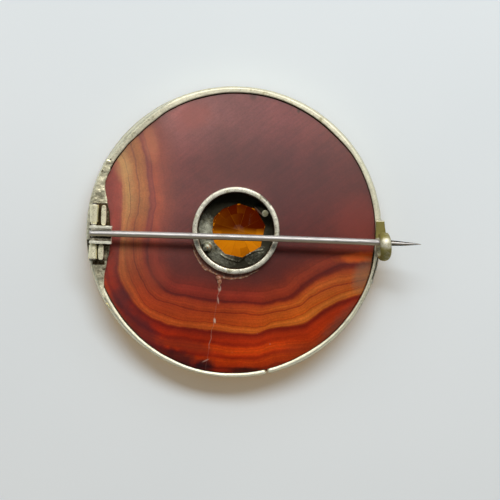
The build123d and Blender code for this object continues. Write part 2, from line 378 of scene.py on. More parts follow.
agate = dict(
    radius=21.5, bevel=0.3, bottom=1.92, top=4.58,
    holeRadius=6.52, holeX=0.315, holeY=0.15,
    rings=42, turns=256,
    bandWidth=1.6,
    bandLines=(
        ((-16.0, 21.5), (-14.3, 16.7), (-12.9, 12.5), (-12.1, 7.2), (-11.8, 4.1), (-12.3, 1.3), (-12.9, -3.5),
         (-12.4, -5.8), (-11.2, -8.0), (-9.3, -9.3), (-6.6, -9.7), (-2.8, -10.3), (0.9, -10.6), (3.9, -10.7),
         (6.2, -10.3), (8.6, -9.7), (10.7, -7.8), (13.1, -6.4), (15.8, -5.2), (20, -4.5), (25, -4.0)),
        ((-17.2, 18.5), (-15.5, 13.1), (-14.6, 9.2), (-14.2, 6.2), (-14.3, 3.4), (-15.0, 0.6), (-14.9, -4.6),
         (-13.3, -8.4), (-11.8, -10.1), (-10.3, -10.7), (-6.6, -11.6), (-2.8, -12.1), (0.9, -12.3),
         (4.3, -12.5), (6.9, -11.9), (9.9, -11.2), (11.9, -9.6), (14.3, -8.5), (16.4, -8.0), (20.4, -7.3),
         (25, -6.5)),
        ((-19.2, 15.5), (-17.4, 11.5), (-16.2, 9.2), (-15.9, 6.2), (-15.7, 3.2), (-16.3, 0.8), (-16.2, -4.6),
         (-14.2, -9.6), (-12.6, -11.5), (-8.5, -13.1), (-2.8, -13.7), (0.9, -14.1), (3.9, -14.3),
         (6.2, -13.5), (8.4, -13.1), (10.7, -12.1), (11.9, -11.3), (15.2, -9.6), (19.1, -8.3), (25, -7.2)),
        ((-20.5, 14.0), (-17.6, 10.9), (-17.0, 8.6), (-16.9, 6.2), (-16.9, 3.2), (-17.3, -3.5), (-17.4, -6.5),
         (-15.6, -10.3), (-12.6, -12.9), (-10.3, -13.9), (-6.6, -14.6), (-2.1, -15.1), (2.8, -15.4),
         (4.7, -14.8), (6.9, -14.4), (9.9, -14.2), (10.9, -13.8), (13.1, -12.1), (15.8, -10.6), (18.8, -9.6),
         (25, -8.2)),
    ),
)


# A smooth line through the points of a list
def smoothLine(points, steps=8):
    points = np.array(points, float)
    ends = np.vstack([2 * points[0] - points[1], points, 2 * points[-1] - points[-2]])
    line = []
    for a, b, c, d in zip(ends, ends[1:], ends[2:], ends[3:]):
        for t in np.arange(steps) / steps:
            square, cube = 2 * a - 5 * b + 4 * c - d, 3 * b - a - 3 * c + d
            line.append(0.5 * (2 * b + (c - a) * t + square * t**2 + cube * t**3))
    line.append(points[-1])
    return np.array(line)


# How far each spot is outside a line, and how far along the line its nearest point is
def besideLine(spots, line):
    start, along = line[:-1], line[1:] - line[:-1]
    reach = spots[:, None] - start[None]
    share = np.clip((reach * along).sum(2) / (along**2).sum(1), 0, 1)
    gap = reach - share[..., None] * along
    far = np.hypot(gap[..., 0], gap[..., 1])
    near = far.argmin(1)
    rows = np.arange(len(spots))
    side = along[near, 0] * gap[rows, near, 1] - along[near, 1] * gap[rows, near, 0]
    return -np.sign(side) * far[rows, near], (near + share[rows, near]) / len(along)


def markBands(piece):
    spots = np.array([corner.co[:2] for corner in piece.data.vertices])
    lines = [smoothLine(line) for line in agate["bandLines"]]
    gaps = [besideLine(spots, line) for line in lines]
    width = agate["bandWidth"]
    band = np.where(gaps[0][0] < 0, 1 + gaps[0][0] / width, len(lines) + gaps[-1][0] / width)
    for number in range(len(lines) - 1):
        inner, outer = gaps[number][0], gaps[number + 1][0]
        between = (inner >= 0) & (outer < 0)
        band[between] = number + 1 + inner[between] / (inner - outer)[between]
    for name, values in (("band", band), ("along", gaps[1][1])):
        piece.data.attributes.new(name, "FLOAT", "POINT").data.foreach_set("value", values.astype(np.float32))


def makeAgate(material):
    inner, outer, bevel = agate["holeRadius"], agate["radius"], agate["bevel"]
    across = [inner + (outer - bevel - inner) * n / agate["rings"] for n in range(agate["rings"] + 1)]
    section = [(r, agate["top"]) for r in across]
    section += [(outer, agate["top"] - bevel), (outer, agate["bottom"] + bevel)]
    section += [(r, agate["bottom"]) for r in reversed(across)]
    piece = spinSection(section, agate["turns"])

    # The hole is a little off the middle of the disc
    def shiftHole(co):
        share = max(0.0, 1 - (math.hypot(co.x, co.y) - inner) / (outer - bevel - inner))
        return co + Vector((agate["holeX"] * share, agate["holeY"] * share, 0))

    reshape(piece, shiftHole)
    markBands(piece)
    return finishPiece(piece, "agate_slice", "brooch", material, ("agate_disc",), 30)


# Stops of the bands' colours, from the heart of the stone outwards: place in bands, colour
bandColours = dict(
    left=(
        (-2.0, (0.167, 0.044, 0.028)), (-1.0, (0.26, 0.058, 0.037)), (0.0, (0.35, 0.074, 0.040)),
        (0.6, (0.46, 0.096, 0.041)), (0.88, (0.45, 0.090, 0.038)), (0.97, (0.27, 0.047, 0.036)),
        (1.07, (0.38, 0.076, 0.042)), (1.16, (0.36, 0.070, 0.042)), (1.26, (0.28, 0.050, 0.037)),
        (1.36, (0.44, 0.130, 0.042)), (1.6, (0.49, 0.165, 0.045)), (1.9, (0.49, 0.170, 0.048)),
        (1.97, (0.27, 0.080, 0.038)), (2.04, (0.48, 0.160, 0.045)), (2.5, (0.55, 0.230, 0.072)),
        (2.79, (0.60, 0.280, 0.090)), (2.86, (0.28, 0.100, 0.048)), (2.93, (0.61, 0.300, 0.092)),
        (3.3, (0.62, 0.295, 0.098)), (3.75, (0.56, 0.220, 0.075)), (4.0, (0.43, 0.085, 0.045)),
        (4.4, (0.39, 0.060, 0.034)), (5.2, (0.33, 0.045, 0.026)), (6.0, (0.24, 0.032, 0.018)),
    ),
    bottom=(
        (-2.0, (0.112, 0.019, 0.014)), (-1.3, (0.135, 0.021, 0.014)), (-0.2, (0.21, 0.020, 0.009)),
        (0.4, (0.28, 0.026, 0.010)), (0.86, (0.22, 0.018, 0.007)), (0.97, (0.11, 0.008, 0.005)),
        (1.08, (0.16, 0.012, 0.005)), (1.2, (0.31, 0.036, 0.008)), (1.7, (0.36, 0.050, 0.008)),
        (1.92, (0.33, 0.042, 0.006)), (1.99, (0.20, 0.021, 0.005)), (2.08, (0.36, 0.048, 0.007)),
        (2.6, (0.42, 0.062, 0.008)), (2.93, (0.40, 0.058, 0.007)), (3.0, (0.23, 0.028, 0.005)),
        (3.08, (0.46, 0.080, 0.010)), (3.5, (0.48, 0.100, 0.014)), (3.8, (0.43, 0.080, 0.011)),
        (3.95, (0.22, 0.020, 0.006)), (4.1, (0.18, 0.010, 0.004)), (4.4, (0.30, 0.022, 0.005)),
        (4.8, (0.36, 0.026, 0.004)), (5.05, (0.25, 0.015, 0.004)), (5.3, (0.44, 0.040, 0.004)),
        (5.7, (0.54, 0.060, 0.004)), (6.1, (0.42, 0.030, 0.003)), (6.3, (0.26, 0.016, 0.003)),
        (6.6, (0.44, 0.042, 0.003)), (7.0, (0.36, 0.030, 0.003)), (7.3, (0.2, 0.014, 0.004)),
    ),
    right=(
        (-2.0, (0.12, 0.020, 0.010)), (-0.8, (0.20, 0.022, 0.008)), (0.2, (0.30, 0.035, 0.009)),
        (0.75, (0.26, 0.028, 0.008)), (0.95, (0.12, 0.008, 0.004)), (1.12, (0.17, 0.013, 0.004)),
        (1.35, (0.40, 0.060, 0.008)), (1.7, (0.48, 0.105, 0.014)), (1.9, (0.42, 0.070, 0.008)),
        (1.98, (0.24, 0.030, 0.006)), (2.1, (0.44, 0.080, 0.010)), (2.6, (0.46, 0.095, 0.011)),
        (2.92, (0.47, 0.085, 0.008)), (3.0, (0.30, 0.042, 0.006)), (3.1, (0.47, 0.105, 0.014)),
        (3.5, (0.50, 0.135, 0.022)), (3.8, (0.44, 0.095, 0.014)), (3.95, (0.22, 0.018, 0.006)),
        (4.15, (0.16, 0.009, 0.004)), (4.5, (0.34, 0.026, 0.005)), (5.2, (0.38, 0.030, 0.003)),
        (6.0, (0.26, 0.030, 0.008)),
    ),
)

# Marks in the stone, each over the one before: x, y, half width, half height, turn, colour, strength
stoneMarks = (
    # Smoke at the lower left
    (-17.0, -10.0, 1.9, 2.2, 40, (0.045, 0.014, 0.020), 0.6),
    (-14.0, -14.8, 7.0, 2.3, -46, (0.075, 0.014, 0.018), 0.75),
    (-8.3, -19.0, 4.2, 1.6, -18, (0.030, 0.010, 0.012), 0.8),
    # Glow at the right
    (19.2, -3.9, 4.4, 0.95, 3, (0.85, 0.15, 0.010), 0.85),
    # Pale streaks at the upper left, and red where the bands turn
    (-12.5, 13.4, 1.4, 3.8, 12, (0.60, 0.22, 0.09), 0.4),
    (-16.6, 9.6, 1.6, 2.6, 12, (0.74, 0.42, 0.15), 0.4),
    (-11.6, -6.3, 2.4, 2.6, 35, (0.42, 0.065, 0.025), 0.32),
    # Darker cloud in the lower bands, and the milky edge at the right
    (-7.0, -17.2, 5.5, 1.3, -13, (0.15, 0.016, 0.010), 0.6),
    (19.5, -6.6, 1.9, 3.2, -25, (0.24, 0.17, 0.10), 0.5),
    (16.9, -12.9, 1.5, 6.0, -48, (0.13, 0.055, 0.035), 0.55),
    # Black spots at the bottom and the top of the rim
    (-4.4, -20.1, 2.0, 1.3, 10, (0.014, 0.006, 0.008), 0.85),
    (1.6, -20.9, 3.2, 0.75, 0, (0.016, 0.007, 0.005), 0.8),
    (2.93, 20.3, 0.72, 0.68, 0, (0.15, 0.045, 0.035), 0.95),
    (9.75, 18.2, 0.3, 0.5, 0, (0.09, 0.03, 0.015), 0.9),
    # Redder by the catch, and paler at the top left
    (18.6, 2.1, 4.2, 4.6, 0, (0.25, 0.030, 0.016), 0.6),
    (-6.3, 17.4, 3.6, 3.0, 20, (0.38, 0.09, 0.065), 0.6),
    # Chips along the crack
    (-2.15, -8.6, 0.28, 0.5, 0, (0.62, 0.45, 0.34), 0.8),
    (-2.35, -10.3, 0.13, 0.65, 8, (0.6, 0.42, 0.32), 0.7),
    (-2.87, -13.4, 0.2, 0.5, 8, (0.7, 0.5, 0.36), 0.85),
    (-4.2, -19.35, 0.7, 0.13, 25, (0.5, 0.3, 0.24), 0.6),
)

crack = dict(topX=-2.15, topY=-8.4, lean=0.175, bottomY=-19.6, width=0.05)

agateLooks = dict(
    # Where along its line the left side turns into the bottom, and the bottom into the right side
    bottomFrom=(0.17, 0.34), rightFrom=(0.59, 0.78),
    fineScale=4.6,
    # The heart of the stone, by x: in its upper half and in its lower half
    heart=(
        (-15, (0.26, 0.055, 0.040)), (-8, (0.22, 0.042, 0.034)), (-2, (0.14, 0.026, 0.021)),
        (8, (0.135, 0.018, 0.015)), (20, (0.145, 0.020, 0.012)),
    ),
    lowHeart=(
        (-12, (0.17, 0.022, 0.014)), (0, (0.095, 0.014, 0.009)), (9, (0.11, 0.010, 0.006)),
        (20, (0.21, 0.020, 0.006)),
    ),
    # Painted sheen of the lamp below the top edge
    paintedTopSheen=(2.0, 3.5, 3.9),
    # Glow of the lower bands, by x
    lowGlow=(
        (-15, (1.14, 0.86, 0.85)), (-4, (1.1, 0.98, 0.92)), (6, (1.34, 1.38, 1.0)), (15, (1.2, 1.22, 0.9)),
    ),
    crackTone=(0.42, 0.25, 0.17), dust=(0.5, 0.4, 0.34),
    rough=0.2, depth=(2.4, 0.8, 0.4), hazeRough=0.46,
)


def agateMaterial():
    material, tree, surface = newMaterial("bandedAgate")
    place = placeOn(tree)
    parts = addNode(tree, "SeparateXYZ", Vector=place)
    x, y = parts.outputs["X"], parts.outputs["Y"]
    # The bands waver a little, as they grew
    waver = calc(tree, "ADD", jitter(tree, place, 0.4, 0.3, 2.0), jitter(tree, place, 0.1, 1.2, 2.0))
    band, along = calc(tree, "ADD", readMark(tree, "band"), waver), readMark(tree, "along")
    ramps = {side: colourRamp(tree, band, stops, -2.0, 8.0) for side, stops in bandColours.items()}
    tone = mixColours(tree, fade(tree, along, *agateLooks["bottomFrom"]), ramps["left"], ramps["bottom"])
    tone = mixColours(tree, fade(tree, along, *agateLooks["rightFrom"]), tone, ramps["right"])
    # Fine lines between the main ones
    fineLines = addNode(
        tree, "TexNoise", {"noise_dimensions": "1D"}, W=band, Scale=agateLooks["fineScale"], Detail=3.0,
        Roughness=0.6,
    )
    fineLines = fade(tree, fineLines.outputs[0], 0.3, 0.7, -0.18, 0.12)
    fineLines = calc(tree, "MULTIPLY_ADD", fineLines, fade(tree, along, 0.22, 0.36, 0.3, 0.8), 1.0)
    tone = tint(tree, tone, fineLines)
    # The heart of the stone, mauve and brown with faint slanting fibres
    heart = colourRamp(tree, x, agateLooks["heart"], -16.0, 22.0)
    lowHeart = colourRamp(tree, x, agateLooks["lowHeart"], -16.0, 22.0)
    heart = mixColours(tree, fade(tree, y, -6.0, 6.0, 1.0, 0.0), heart, lowHeart)
    fibres = clouds(tree, placeOn(tree, (0.16, 2.4, 1.0), 37), 1.0, 4.0, 0.7)
    heart = tint(tree, heart, fade(tree, fibres, 0.3, 0.7, 0.9, 1.1))
    # Lighter again below the top edge: a painted sheen of the lamp on the ground back
    heart = tint(tree, heart, mixColours(tree, fade(tree, y, 9.0, 19.0), (1, 1, 1), agateLooks["paintedTopSheen"]))
    tone = mixColours(tree, fade(tree, band, -2.4, 0.3), heart, tone)
    # The lower bands are darker at the left and glow at the right
    glow = colourRamp(tree, x, agateLooks["lowGlow"], -16.0, 16.0)
    tone = mixColours(tree, fade(tree, y, -12.0, -5.0, 1.0, 0.0), tone, tint(tree, tone, glow))
    # Grain of the ground face, and clouding through the whole stone
    tone = tint(tree, tone, fade(tree, clouds(tree, place, 4.5, 2.0, 0.6), 0.3, 0.7, 0.9, 1.1))
    tone = tint(tree, tone, fade(tree, clouds(tree, place, 0.22, 4.0, 0.6), 0.3, 0.7, 0.86, 1.12))
    for middleX, middleY, halfWide, halfHigh, turn, colour, strength in stoneMarks:
        spot = placeOn(tree, (1 / halfWide, 1 / halfHigh, 0.1), turn, (middleX, middleY, 3.2))
        reach = addNode(tree, "VectorMath", {"operation": "LENGTH"})
        feed(tree, reach.inputs[0], spot)
        reach = calc(tree, "ADD", reach.outputs["Value"], jitter(tree, place, 0.6, 0.9, 4.0))
        tone = mixColours(tree, fade(tree, reach, 0.35, 1.1, strength, 0.0), tone, colour)
    # The crack, which runs down from the collar
    lineX = calc(tree, "MULTIPLY_ADD", y, crack["lean"], crack["topX"] - crack["lean"] * crack["topY"])
    lineX = calc(tree, "ADD", lineX, jitter(tree, place, 0.5, 1.1))
    off = calc(tree, "ABSOLUTE", calc(tree, "SUBTRACT", x, lineX))
    split = fade(tree, off, crack["width"] * 0.4, crack["width"] * 1.6, 1.0, 0.0)
    for share in (
        fade(tree, y, crack["bottomY"], crack["bottomY"] + 2, 0.2, 1.0),
        fade(tree, y, crack["topY"], crack["topY"] + 1, 1.0, 0.0),
        fade(tree, clouds(tree, place, 0.9), 0.35, 0.6, 0.3, 1.0),
    ):
        split = calc(tree, "MULTIPLY", split, share)
    tone = mixColours(tree, calc(tree, "MULTIPLY", split, 0.5), tone, agateLooks["crackTone"])
    # Pale specks of dust and polish
    cells = addNode(tree, "TexVoronoi", Vector=place, Scale=0.55)
    rare = fade(tree, addNode(tree, "SeparateColor", Color=cells.outputs["Color"]).outputs[0], 0.84, 0.86)
    speck = calc(tree, "MULTIPLY", fade(tree, cells.outputs["Distance"], 0.02, 0.06, 1.0, 0.0), rare)
    tone = mixColours(tree, calc(tree, "MULTIPLY", speck, 0.55), tone, agateLooks["dust"])
    feed(tree, surface.inputs["Base Color"], tone)
    surface.inputs["Roughness"].default_value = agateLooks["rough"]
    surface.inputs["IOR"].default_value = 1.5
    surface.inputs["Subsurface Weight"].default_value = 0.6
    surface.inputs["Subsurface Radius"].default_value = agateLooks["depth"]
    surface.inputs["Subsurface Scale"].default_value = mm
    # The ground back of the stone is hazier at the top
    haze = calc(tree, "MULTIPLY_ADD", x, -0.16, y)
    feed(tree, surface.inputs["Coat Weight"], fade(tree, haze, -17.0, 10.0, 0.03, 0.95))
    surface.inputs["Coat Roughness"].default_value = agateLooks["hazeRough"]
    surface.inputs["Coat IOR"].default_value = 1.9
    scratches = clouds(tree, placeOn(tree, (0.35, 12.0, 1.0), 28), 1.0, 3.0, 0.6)
    relief = bumpBy(tree, scratches, 0.06, 0.02)
    relief = bumpBy(tree, split, 0.5, 0.05, relief)
    relief = bumpBy(tree, clouds(tree, place, 0.35, 2.0), 0.1, 0.1, relief)
    feed(tree, surface.inputs["Normal"], relief)
    return material


# Bezel band: a strip bent round the stone and pressed over both its faces

bezel = dict(
    frontX=22.46, frontY=22.16,
    # Section of the strip, from the inner edge of the back lip out and down to the front: radius, height
    section=(
        (20.72, 4.575), (20.8, 4.6), (20.97, 4.63), (20.98, 4.75), (20.99, 4.88), (21.02, 4.925),
        (21.08, 4.943), (21.2, 4.945), (21.45, 4.945), (21.65, 4.945), (21.8, 4.925), (21.92, 4.86),
        (22.01, 4.75), (22.07, 4.6), (22.1, 4.4),
        (22.17, 3.8), (22.28, 2.8), (22.4, 1.9), (22.42, 1.72), (22.36, 1.6), (22.2, 1.56), (21.3, 1.56),
        (21.0, 1.58), (20.9, 1.68), (20.92, 1.8), (21.05, 1.88), (21.4, 1.9), (21.52, 1.98), (21.52, 3.2),
        (21.52, 4.5), (21.42, 4.57),
    ),
    steps=330,
    seamAt=283.25, seamGap=0.32,  # degrees
    lipFrom=21.93, lipRest=21.0, lipBottom=4.55, dirtFrom=20.97,
    # Inner edge of the back lip: angle from +X, radius
    lipEdge=(
        (0, 21.28), (30, 21.28), (45, 21.02), (60, 20.98), (75, 20.99), (90, 20.91), (105, 20.8),
        (118, 20.71), (127, 20.48), (134, 20.45), (142, 20.62), (150, 20.82), (165, 20.95), (180, 21.0),
        (210, 21.2), (240, 21.29), (255, 21.34), (270, 21.27), (300, 21.18), (318, 21.38), (335, 21.47),
        (346, 21.46), (354, 21.3), (360, 21.28),
    ),
    # Dirt and painted shadow along the foot of the lip, wider at the top where the lip's shadow falls: angle,
    # width
    dirtEdge=(
        (0, 0.1), (30, 0.1), (50, 0.22), (80, 0.22), (100, 0.22), (125, 0.16), (140, 0.1), (150, 0.22),
        (165, 0.1), (200, 0.12), (222, 0.16), (245, 0.04), (330, 0.04), (342, 0.1), (349, 0.34), (354, 0.12),
        (360, 0.1),
    ),
    # Where the outer corner is pressed in too, to the edge of the stone at most
    dentFrom=114, dentTo=155, dentDepth=0.52, stoneWall=21.64,
    # The inner edge of the lip is rounded on the lower side
    roundFrom=21.32, roundSlope=0.32,
    waviness=0.06, nicks=0.025,
    # Shares of dirt: along the foot of the lip, where it is partly painted shadow, round the tip of the hinge
    # leaf, on the outer edge below the catch, on the corner that the dent has worn bare, and elsewhere
    footDirt=1.4, tipDirt=0.75, catchDirt=0.8, bareDirt=-0.6, restDirt=0.14,
    leafTip=(-18.78, 10.35), tipLine=(0.44, 0.6),
)


def makeBezel(material):
    piece = spinSection(bezel["section"], bezel["steps"], math.radians(360 - bezel["seamGap"]))

    # From a round ring to the oval band with its lip pressed in unevenly
    def pressBand(co):
        radius = math.hypot(co.x, co.y)
        angle = math.atan2(co.y, co.x) + math.radians(bezel["seamAt"] - bezel["seamGap"] / 2)
        oval = 1 / math.hypot(math.cos(angle) / bezel["frontX"], math.sin(angle) / bezel["frontY"])
        outward = min(1.0, max(0.0, (radius - 21.5) / 0.35))
        grown = radius + (oval - bezel["frontX"]) * outward
        degrees = math.degrees(angle) % 360
        share = 0.0
        if co.z > bezel["lipBottom"] and radius < bezel["lipFrom"]:
            share = min(1.0, (bezel["lipFrom"] - radius) / (bezel["lipFrom"] - bezel["lipRest"]))
            grown += (fromTable(bezel["lipEdge"], degrees) - bezel["lipRest"]) * share
            if radius < bezel["dirtFrom"]:
                dirt = (bezel["dirtFrom"] - radius) / (bezel["dirtFrom"] - bezel["section"][0][0])
                grown += (bezel["dirtFrom"] - radius) - dirt * fromTable(bezel["dirtEdge"], degrees)
        if bezel["dentFrom"] < degrees < bezel["dentTo"] and radius > 21.6:
            dent = (degrees - bezel["dentFrom"]) / (bezel["dentTo"] - bezel["dentFrom"])
            depth = bezel["dentDepth"] * math.sin(math.pi * dent) * (1 - share)
            pressed = grown - depth * min(1.0, max(0.0, (co.z - 2.2) / 2.3))
            grown = max(pressed, bezel["stoneWall"] - 1.5 * max(0.0, co.z - 4.5))
        height = co.z
        if co.z > 4.8 and radius < bezel["roundFrom"]:
            height -= (bezel["roundFrom"] - radius) * bezel["roundSlope"] * smooth(0.1, -0.5, math.sin(angle))
        return Vector((grown * math.cos(angle), grown * math.sin(angle), height))

    reshape(piece, pressBand)
    modify(piece, "SUBSURF", levels=1, render_levels=1)
    roughen(piece, 1.6, bezel["waviness"])
    roughen(piece, 0.45, bezel["nicks"])

    def bandGrimeAndShade(co):
        radius, angle = math.hypot(co.x, co.y), math.degrees(math.atan2(co.y, co.x)) % 360
        edge = fromTable(bezel["lipEdge"], angle)
        tipX, tipY = bezel["leafTip"]
        # Dirt and painted shadow along the foot of the lip
        if 4.5 < co.z < 4.8 and radius < edge + 0.06:
            return bezel["footDirt"]
        if co.y > 10.2 and bezel["tipLine"][0] < math.hypot(co.x - tipX, co.y - tipY) < bezel["tipLine"][1]:
            return bezel["tipDirt"]
        if 341 < angle < 355 and co.z > 4.3 and radius > 21.85:
            return bezel["catchDirt"]
        if 117 < angle < 150 and 4.75 < co.z < 4.935 and radius > edge + 0.78:
            return bezel["bareDirt"]
        # The wall is dull, less so at the lower left, more so in the dent and by the catch, and darker at its
        # foot as painted shade
        wall = smooth(21.9, 22.1, radius) * smooth(4.9, 4.8, co.z)
        lowerLeft = smooth(188, 200, angle) * smooth(250, 236, angle)
        share = bezel["restDirt"] + 0.16 * smooth(325, 330, angle) * smooth(352, 347, angle)
        share += 0.24 * smooth(113, 119, angle) * smooth(152, 146, angle) * smooth(2.8, 4.4, co.z)
        share += wall * (0.2 - 0.16 * lowerLeft + 0.12 * smooth(3.4, 1.8, co.z))
        # Behind the hinge it is darker still, most of all beside the lower knuckle
        byHinge = smooth(9.0, 5.5, abs(co.y)) * smooth(2.6, 4.4, co.z) if co.x < 0 else 0.0
        hingeShare = 0.42 + 0.75 * smooth(-1.0, -1.6, co.y) * smooth(-4.6, -3.9, co.y)
        return share + (hingeShare - share) * byHinge

    markGrimeAndShade(piece, bandGrimeAndShade)
    return finishPiece(piece, "bezel_band", "brooch", material, ("rim",))


# Hinge plate: hammered crescent leaf with the knuckles and the fence strips soldered on it

hinge = dict(
    x=-20.97, y=-0.295, z=5.75, turn=math.radians(-1.9),
    leafLow=4.66, leafHigh=5.05,
    leafX=21.7, leafY=23.0,  # half axes of the oval that the outer edge of the leaf follows
    leafSteps=90, leafRows=8, hammered=0.13,
    # Inner edge of the leaf from its top tip to its bottom tip: y, x
    leafEdge=(
        (10.9, -18.8), (10.75, -18.5), (10.4, -18.32), (9.2, -18.5), (8.3, -18.95), (7.4, -19.25),
        (6.6, -19.28), (4.5, -18.95), (2.6, -18.57), (-0.2, -18.5), (-2.9, -18.6), (-4.6, -19.02),
        (-6.6, -19.42), (-8.3, -19.45), (-8.6, -19.6), (-10.2, -19.3), (-11.6, -18.6),
    ),
    # Knuckles: y of the outer end, y of the inner end, radius of each
    knuckles=((4.3, 1.72, 0.70, 0.62), (-3.78, -1.72, 0.69, 0.62)),
    neckRadius=0.47, neckLength=0.32, bore=0.37, boreLength=12,
    saddleWide=0.95,
    # Fences: x of the middle, low y, high y, half width, where it is widest (0 low end to 1 high end)
    fences=((1.45, 1.24, 4.3, 0.37, 0.4), (1.2, -3.93, -1.54, 0.4, 0.5)),
    # Stains on the leaf: x, y, reach, strength
    stains=(
        (-20.2, 7.6, 1.3, -0.7), (-20.0, -8.9, 2.1, -0.9), (-20.0, 4.9, 0.9, 0.22), (-20.4, -6.3, 0.6, 0.25),
        (-20.6, 5.5, 0.9, 0.35), (-19.7, 5.4, 0.6, 0.45), (-19.8, 9.1, 0.5, 0.85), (-20.5, 6.9, 0.4, 0.3),
        (-20.3, -5.9, 1.0, 0.45), (-19.4, -5.6, 0.6, 0.5), (-19.8, -6.9, 0.5, 0.4), (-18.85, -11.0, 0.4, 0.7),
    ),
    # Black dirt and painted shade, a painted shadow below the lower knuckle among them:
    # low and high end across the hinge, low and high end along it, top, share
    dirt=(
        (0.55, 1.1, -4.05, 4.35, 5.3, 1.0), (-0.9, 2.6, -1.8, 1.8, 5.3, 1.0),
        (-0.9, 2.6, 0.0, 4.35, 5.3, 0.8), (-0.9, 2.6, -4.05, 0.0, 5.3, 0.7),
        (-1.0, 1.75, -4.65, -4.0, 5.6, 0.8), (-0.9, 1.9, 4.2, 4.6, 5.5, 0.9),
    ),
    fenceTop=6.2,
    grain=0.06,
)


def atHinge(x, y, z=0.0):
    c, s = math.cos(hinge["turn"]), math.sin(hinge["turn"])
    return Vector((hinge["x"] + c * x - s * y, hinge["y"] + s * x + c * y, z))


# The same the other way: how far a place is across and along the hinge
def fromHinge(place):
    c, s = math.cos(hinge["turn"]), math.sin(hinge["turn"])
    x, y = place.x - hinge["x"], place.y - hinge["y"]
    return c * x + s * y, c * y - s * x


def makeLeaf():
    leaf = addShape(
        bpy.ops.mesh.primitive_grid_add, x_subdivisions=hinge["leafRows"], y_subdivisions=hinge["leafSteps"],
        size=2,
    )
    high, low = hinge["leafEdge"][0][0], hinge["leafEdge"][-1][0]
    edge = sorted(hinge["leafEdge"])

    def layOut(co):
        y = low + (high - low) * (co.y + 1) / 2
        inner = fromTable(edge, y)
        outer = -hinge["leafX"] * math.sqrt(1 - (y / hinge["leafY"]) ** 2) + 0.05
        share = (co.x + 1) / 2
        return Vector((outer + (inner - outer) * share, y, hinge["leafHigh"]))

    reshape(leaf, layOut)
    modify(leaf, "SOLIDIFY", thickness=hinge["leafHigh"] - hinge["leafLow"], offset=-1)
    modify(leaf, "SUBSURF", levels=1, render_levels=1)
    roughen(leaf, 1.5, hinge["hammered"])
    return leaf


# A tapered roll, the neck that reaches in from it, and the saddle that it is soldered down on
def makeKnuckle(outerEnd, innerEnd, outerRadius, innerRadius):
    length, middle = abs(outerEnd - innerEnd), (outerEnd + innerEnd) / 2
    sign = 1 if outerEnd > innerEnd else -1
    turn = (math.pi / 2, 0, hinge["turn"] + (math.pi if sign > 0 else 0))
    sunk = 0.3  # how far the neck goes into the roll
    neckMiddle = innerEnd - sign * hinge["neckLength"] / 2 + sign * sunk / 2
    return [
        addShape(
            bpy.ops.mesh.primitive_cone_add, vertices=40, radius1=innerRadius, radius2=outerRadius,
            depth=length, location=atHinge(0, middle, hinge["z"]), rotation=turn,
        ),
        addShape(
            bpy.ops.mesh.primitive_cylinder_add, vertices=32, radius=hinge["neckRadius"],
            depth=hinge["neckLength"] + sunk, location=atHinge(0, neckMiddle, hinge["z"]), rotation=turn,
        ),
        addShape(
            bpy.ops.mesh.primitive_cube_add, size=1, rotation=(0, 0, hinge["turn"]),
            location=atHinge(0, middle, (hinge["leafLow"] + hinge["z"]) / 2),
            scale=(hinge["saddleWide"], length, hinge["z"] - hinge["leafLow"]),
        ),
    ]


# An upright strip, like a leaf standing on its edge, seen from above
def makeFence(middleX, lowY, highY, halfWide, widest):
    fence = addShape(
        bpy.ops.mesh.primitive_circle_add, vertices=28, radius=1, fill_type="NGON", location=(0, 0, 0),
    )
    bpy.ops.object.mode_set(mode="EDIT")
    pullOut(0, 0, hinge["fenceTop"] - hinge["leafLow"])
    bpy.ops.object.mode_set(mode="OBJECT")

    # The circle is squared off, with blunt ends
    def layOut(co):
        share = (co.y + 1) / 2
        swell = 1 - abs(share - widest) / max(widest, 1 - widest)
        wide = halfWide * (0.86 + 0.14 * swell) * (1 - abs(co.y) ** 9) ** 0.5 if abs(co.y) < 1 else 0
        side = co.x / max(1e-6, math.sqrt(max(0.0, 1 - co.y**2))) if abs(co.y) < 1 else 0
        return atHinge(middleX + side * wide, lowY + (highY - lowY) * share, hinge["leafLow"] + co.z)

    reshape(fence, layOut)
    return fence


# Black dirt and painted shade lie beside the knuckles and round their ends
def hingeGrimeAndShade(place):
    across, along = fromHinge(place)
    for left, right, low, high, top, share in hinge["dirt"]:
        if left < across < right and low < along < high and place.z < top:
            return share
    # The outer edge of the leaf is dull
    if math.hypot(place.x / hinge["leafX"], place.y / hinge["leafY"]) > 0.988 and place.z < 5.02:
        return 0.7 if -4.1 < along < -1.3 else 0.45 if along > -5 else 0.15
    # The fences, the necks and the outer side of each knuckle are worn bare, its inner side is not
    if place.z > 5.2:
        if 0.75 < across or abs(along) < 1.7:
            return -0.5
        return -0.4 if across < 0.45 else -0.2 if across < 0.6 else 0.15
    # Under the top tip of the leaf
    if along > 9 and place.z < 4.97:
        return 0.9
    # The leaf is stained, and darker next to the knuckles, with dirt and painted shade
    share = 0.08 + 0.35 * max(0.0, 1 - max(0.0, abs(along) - 4.4) / 1.4)
    for x, y, reach, strength in hinge["stains"]:
        share += strength * nearness(place.x, place.y, x, y, reach, reach)
    return min(share, 1.0)


def makeHingePlate(material):
    parts = [makeLeaf()]
    for knuckle in hinge["knuckles"]:
        parts += makeKnuckle(*knuckle)
    for fence in hinge["fences"]:
        parts.append(makeFence(*fence))
    piece = solder(parts, hinge["grain"], 1)
    # The bore for the hinge wire
    axis = (math.pi / 2, 0, hinge["turn"])
    drillHole(piece, hinge["bore"], hinge["boreLength"], atHinge(0, 0.2, hinge["z"]), axis)
    roughen(piece, 0.5, 0.02)
    markGrimeAndShade(piece, hingeGrimeAndShade)
    return finishPiece(piece, "hinge_plate", "brooch", material)


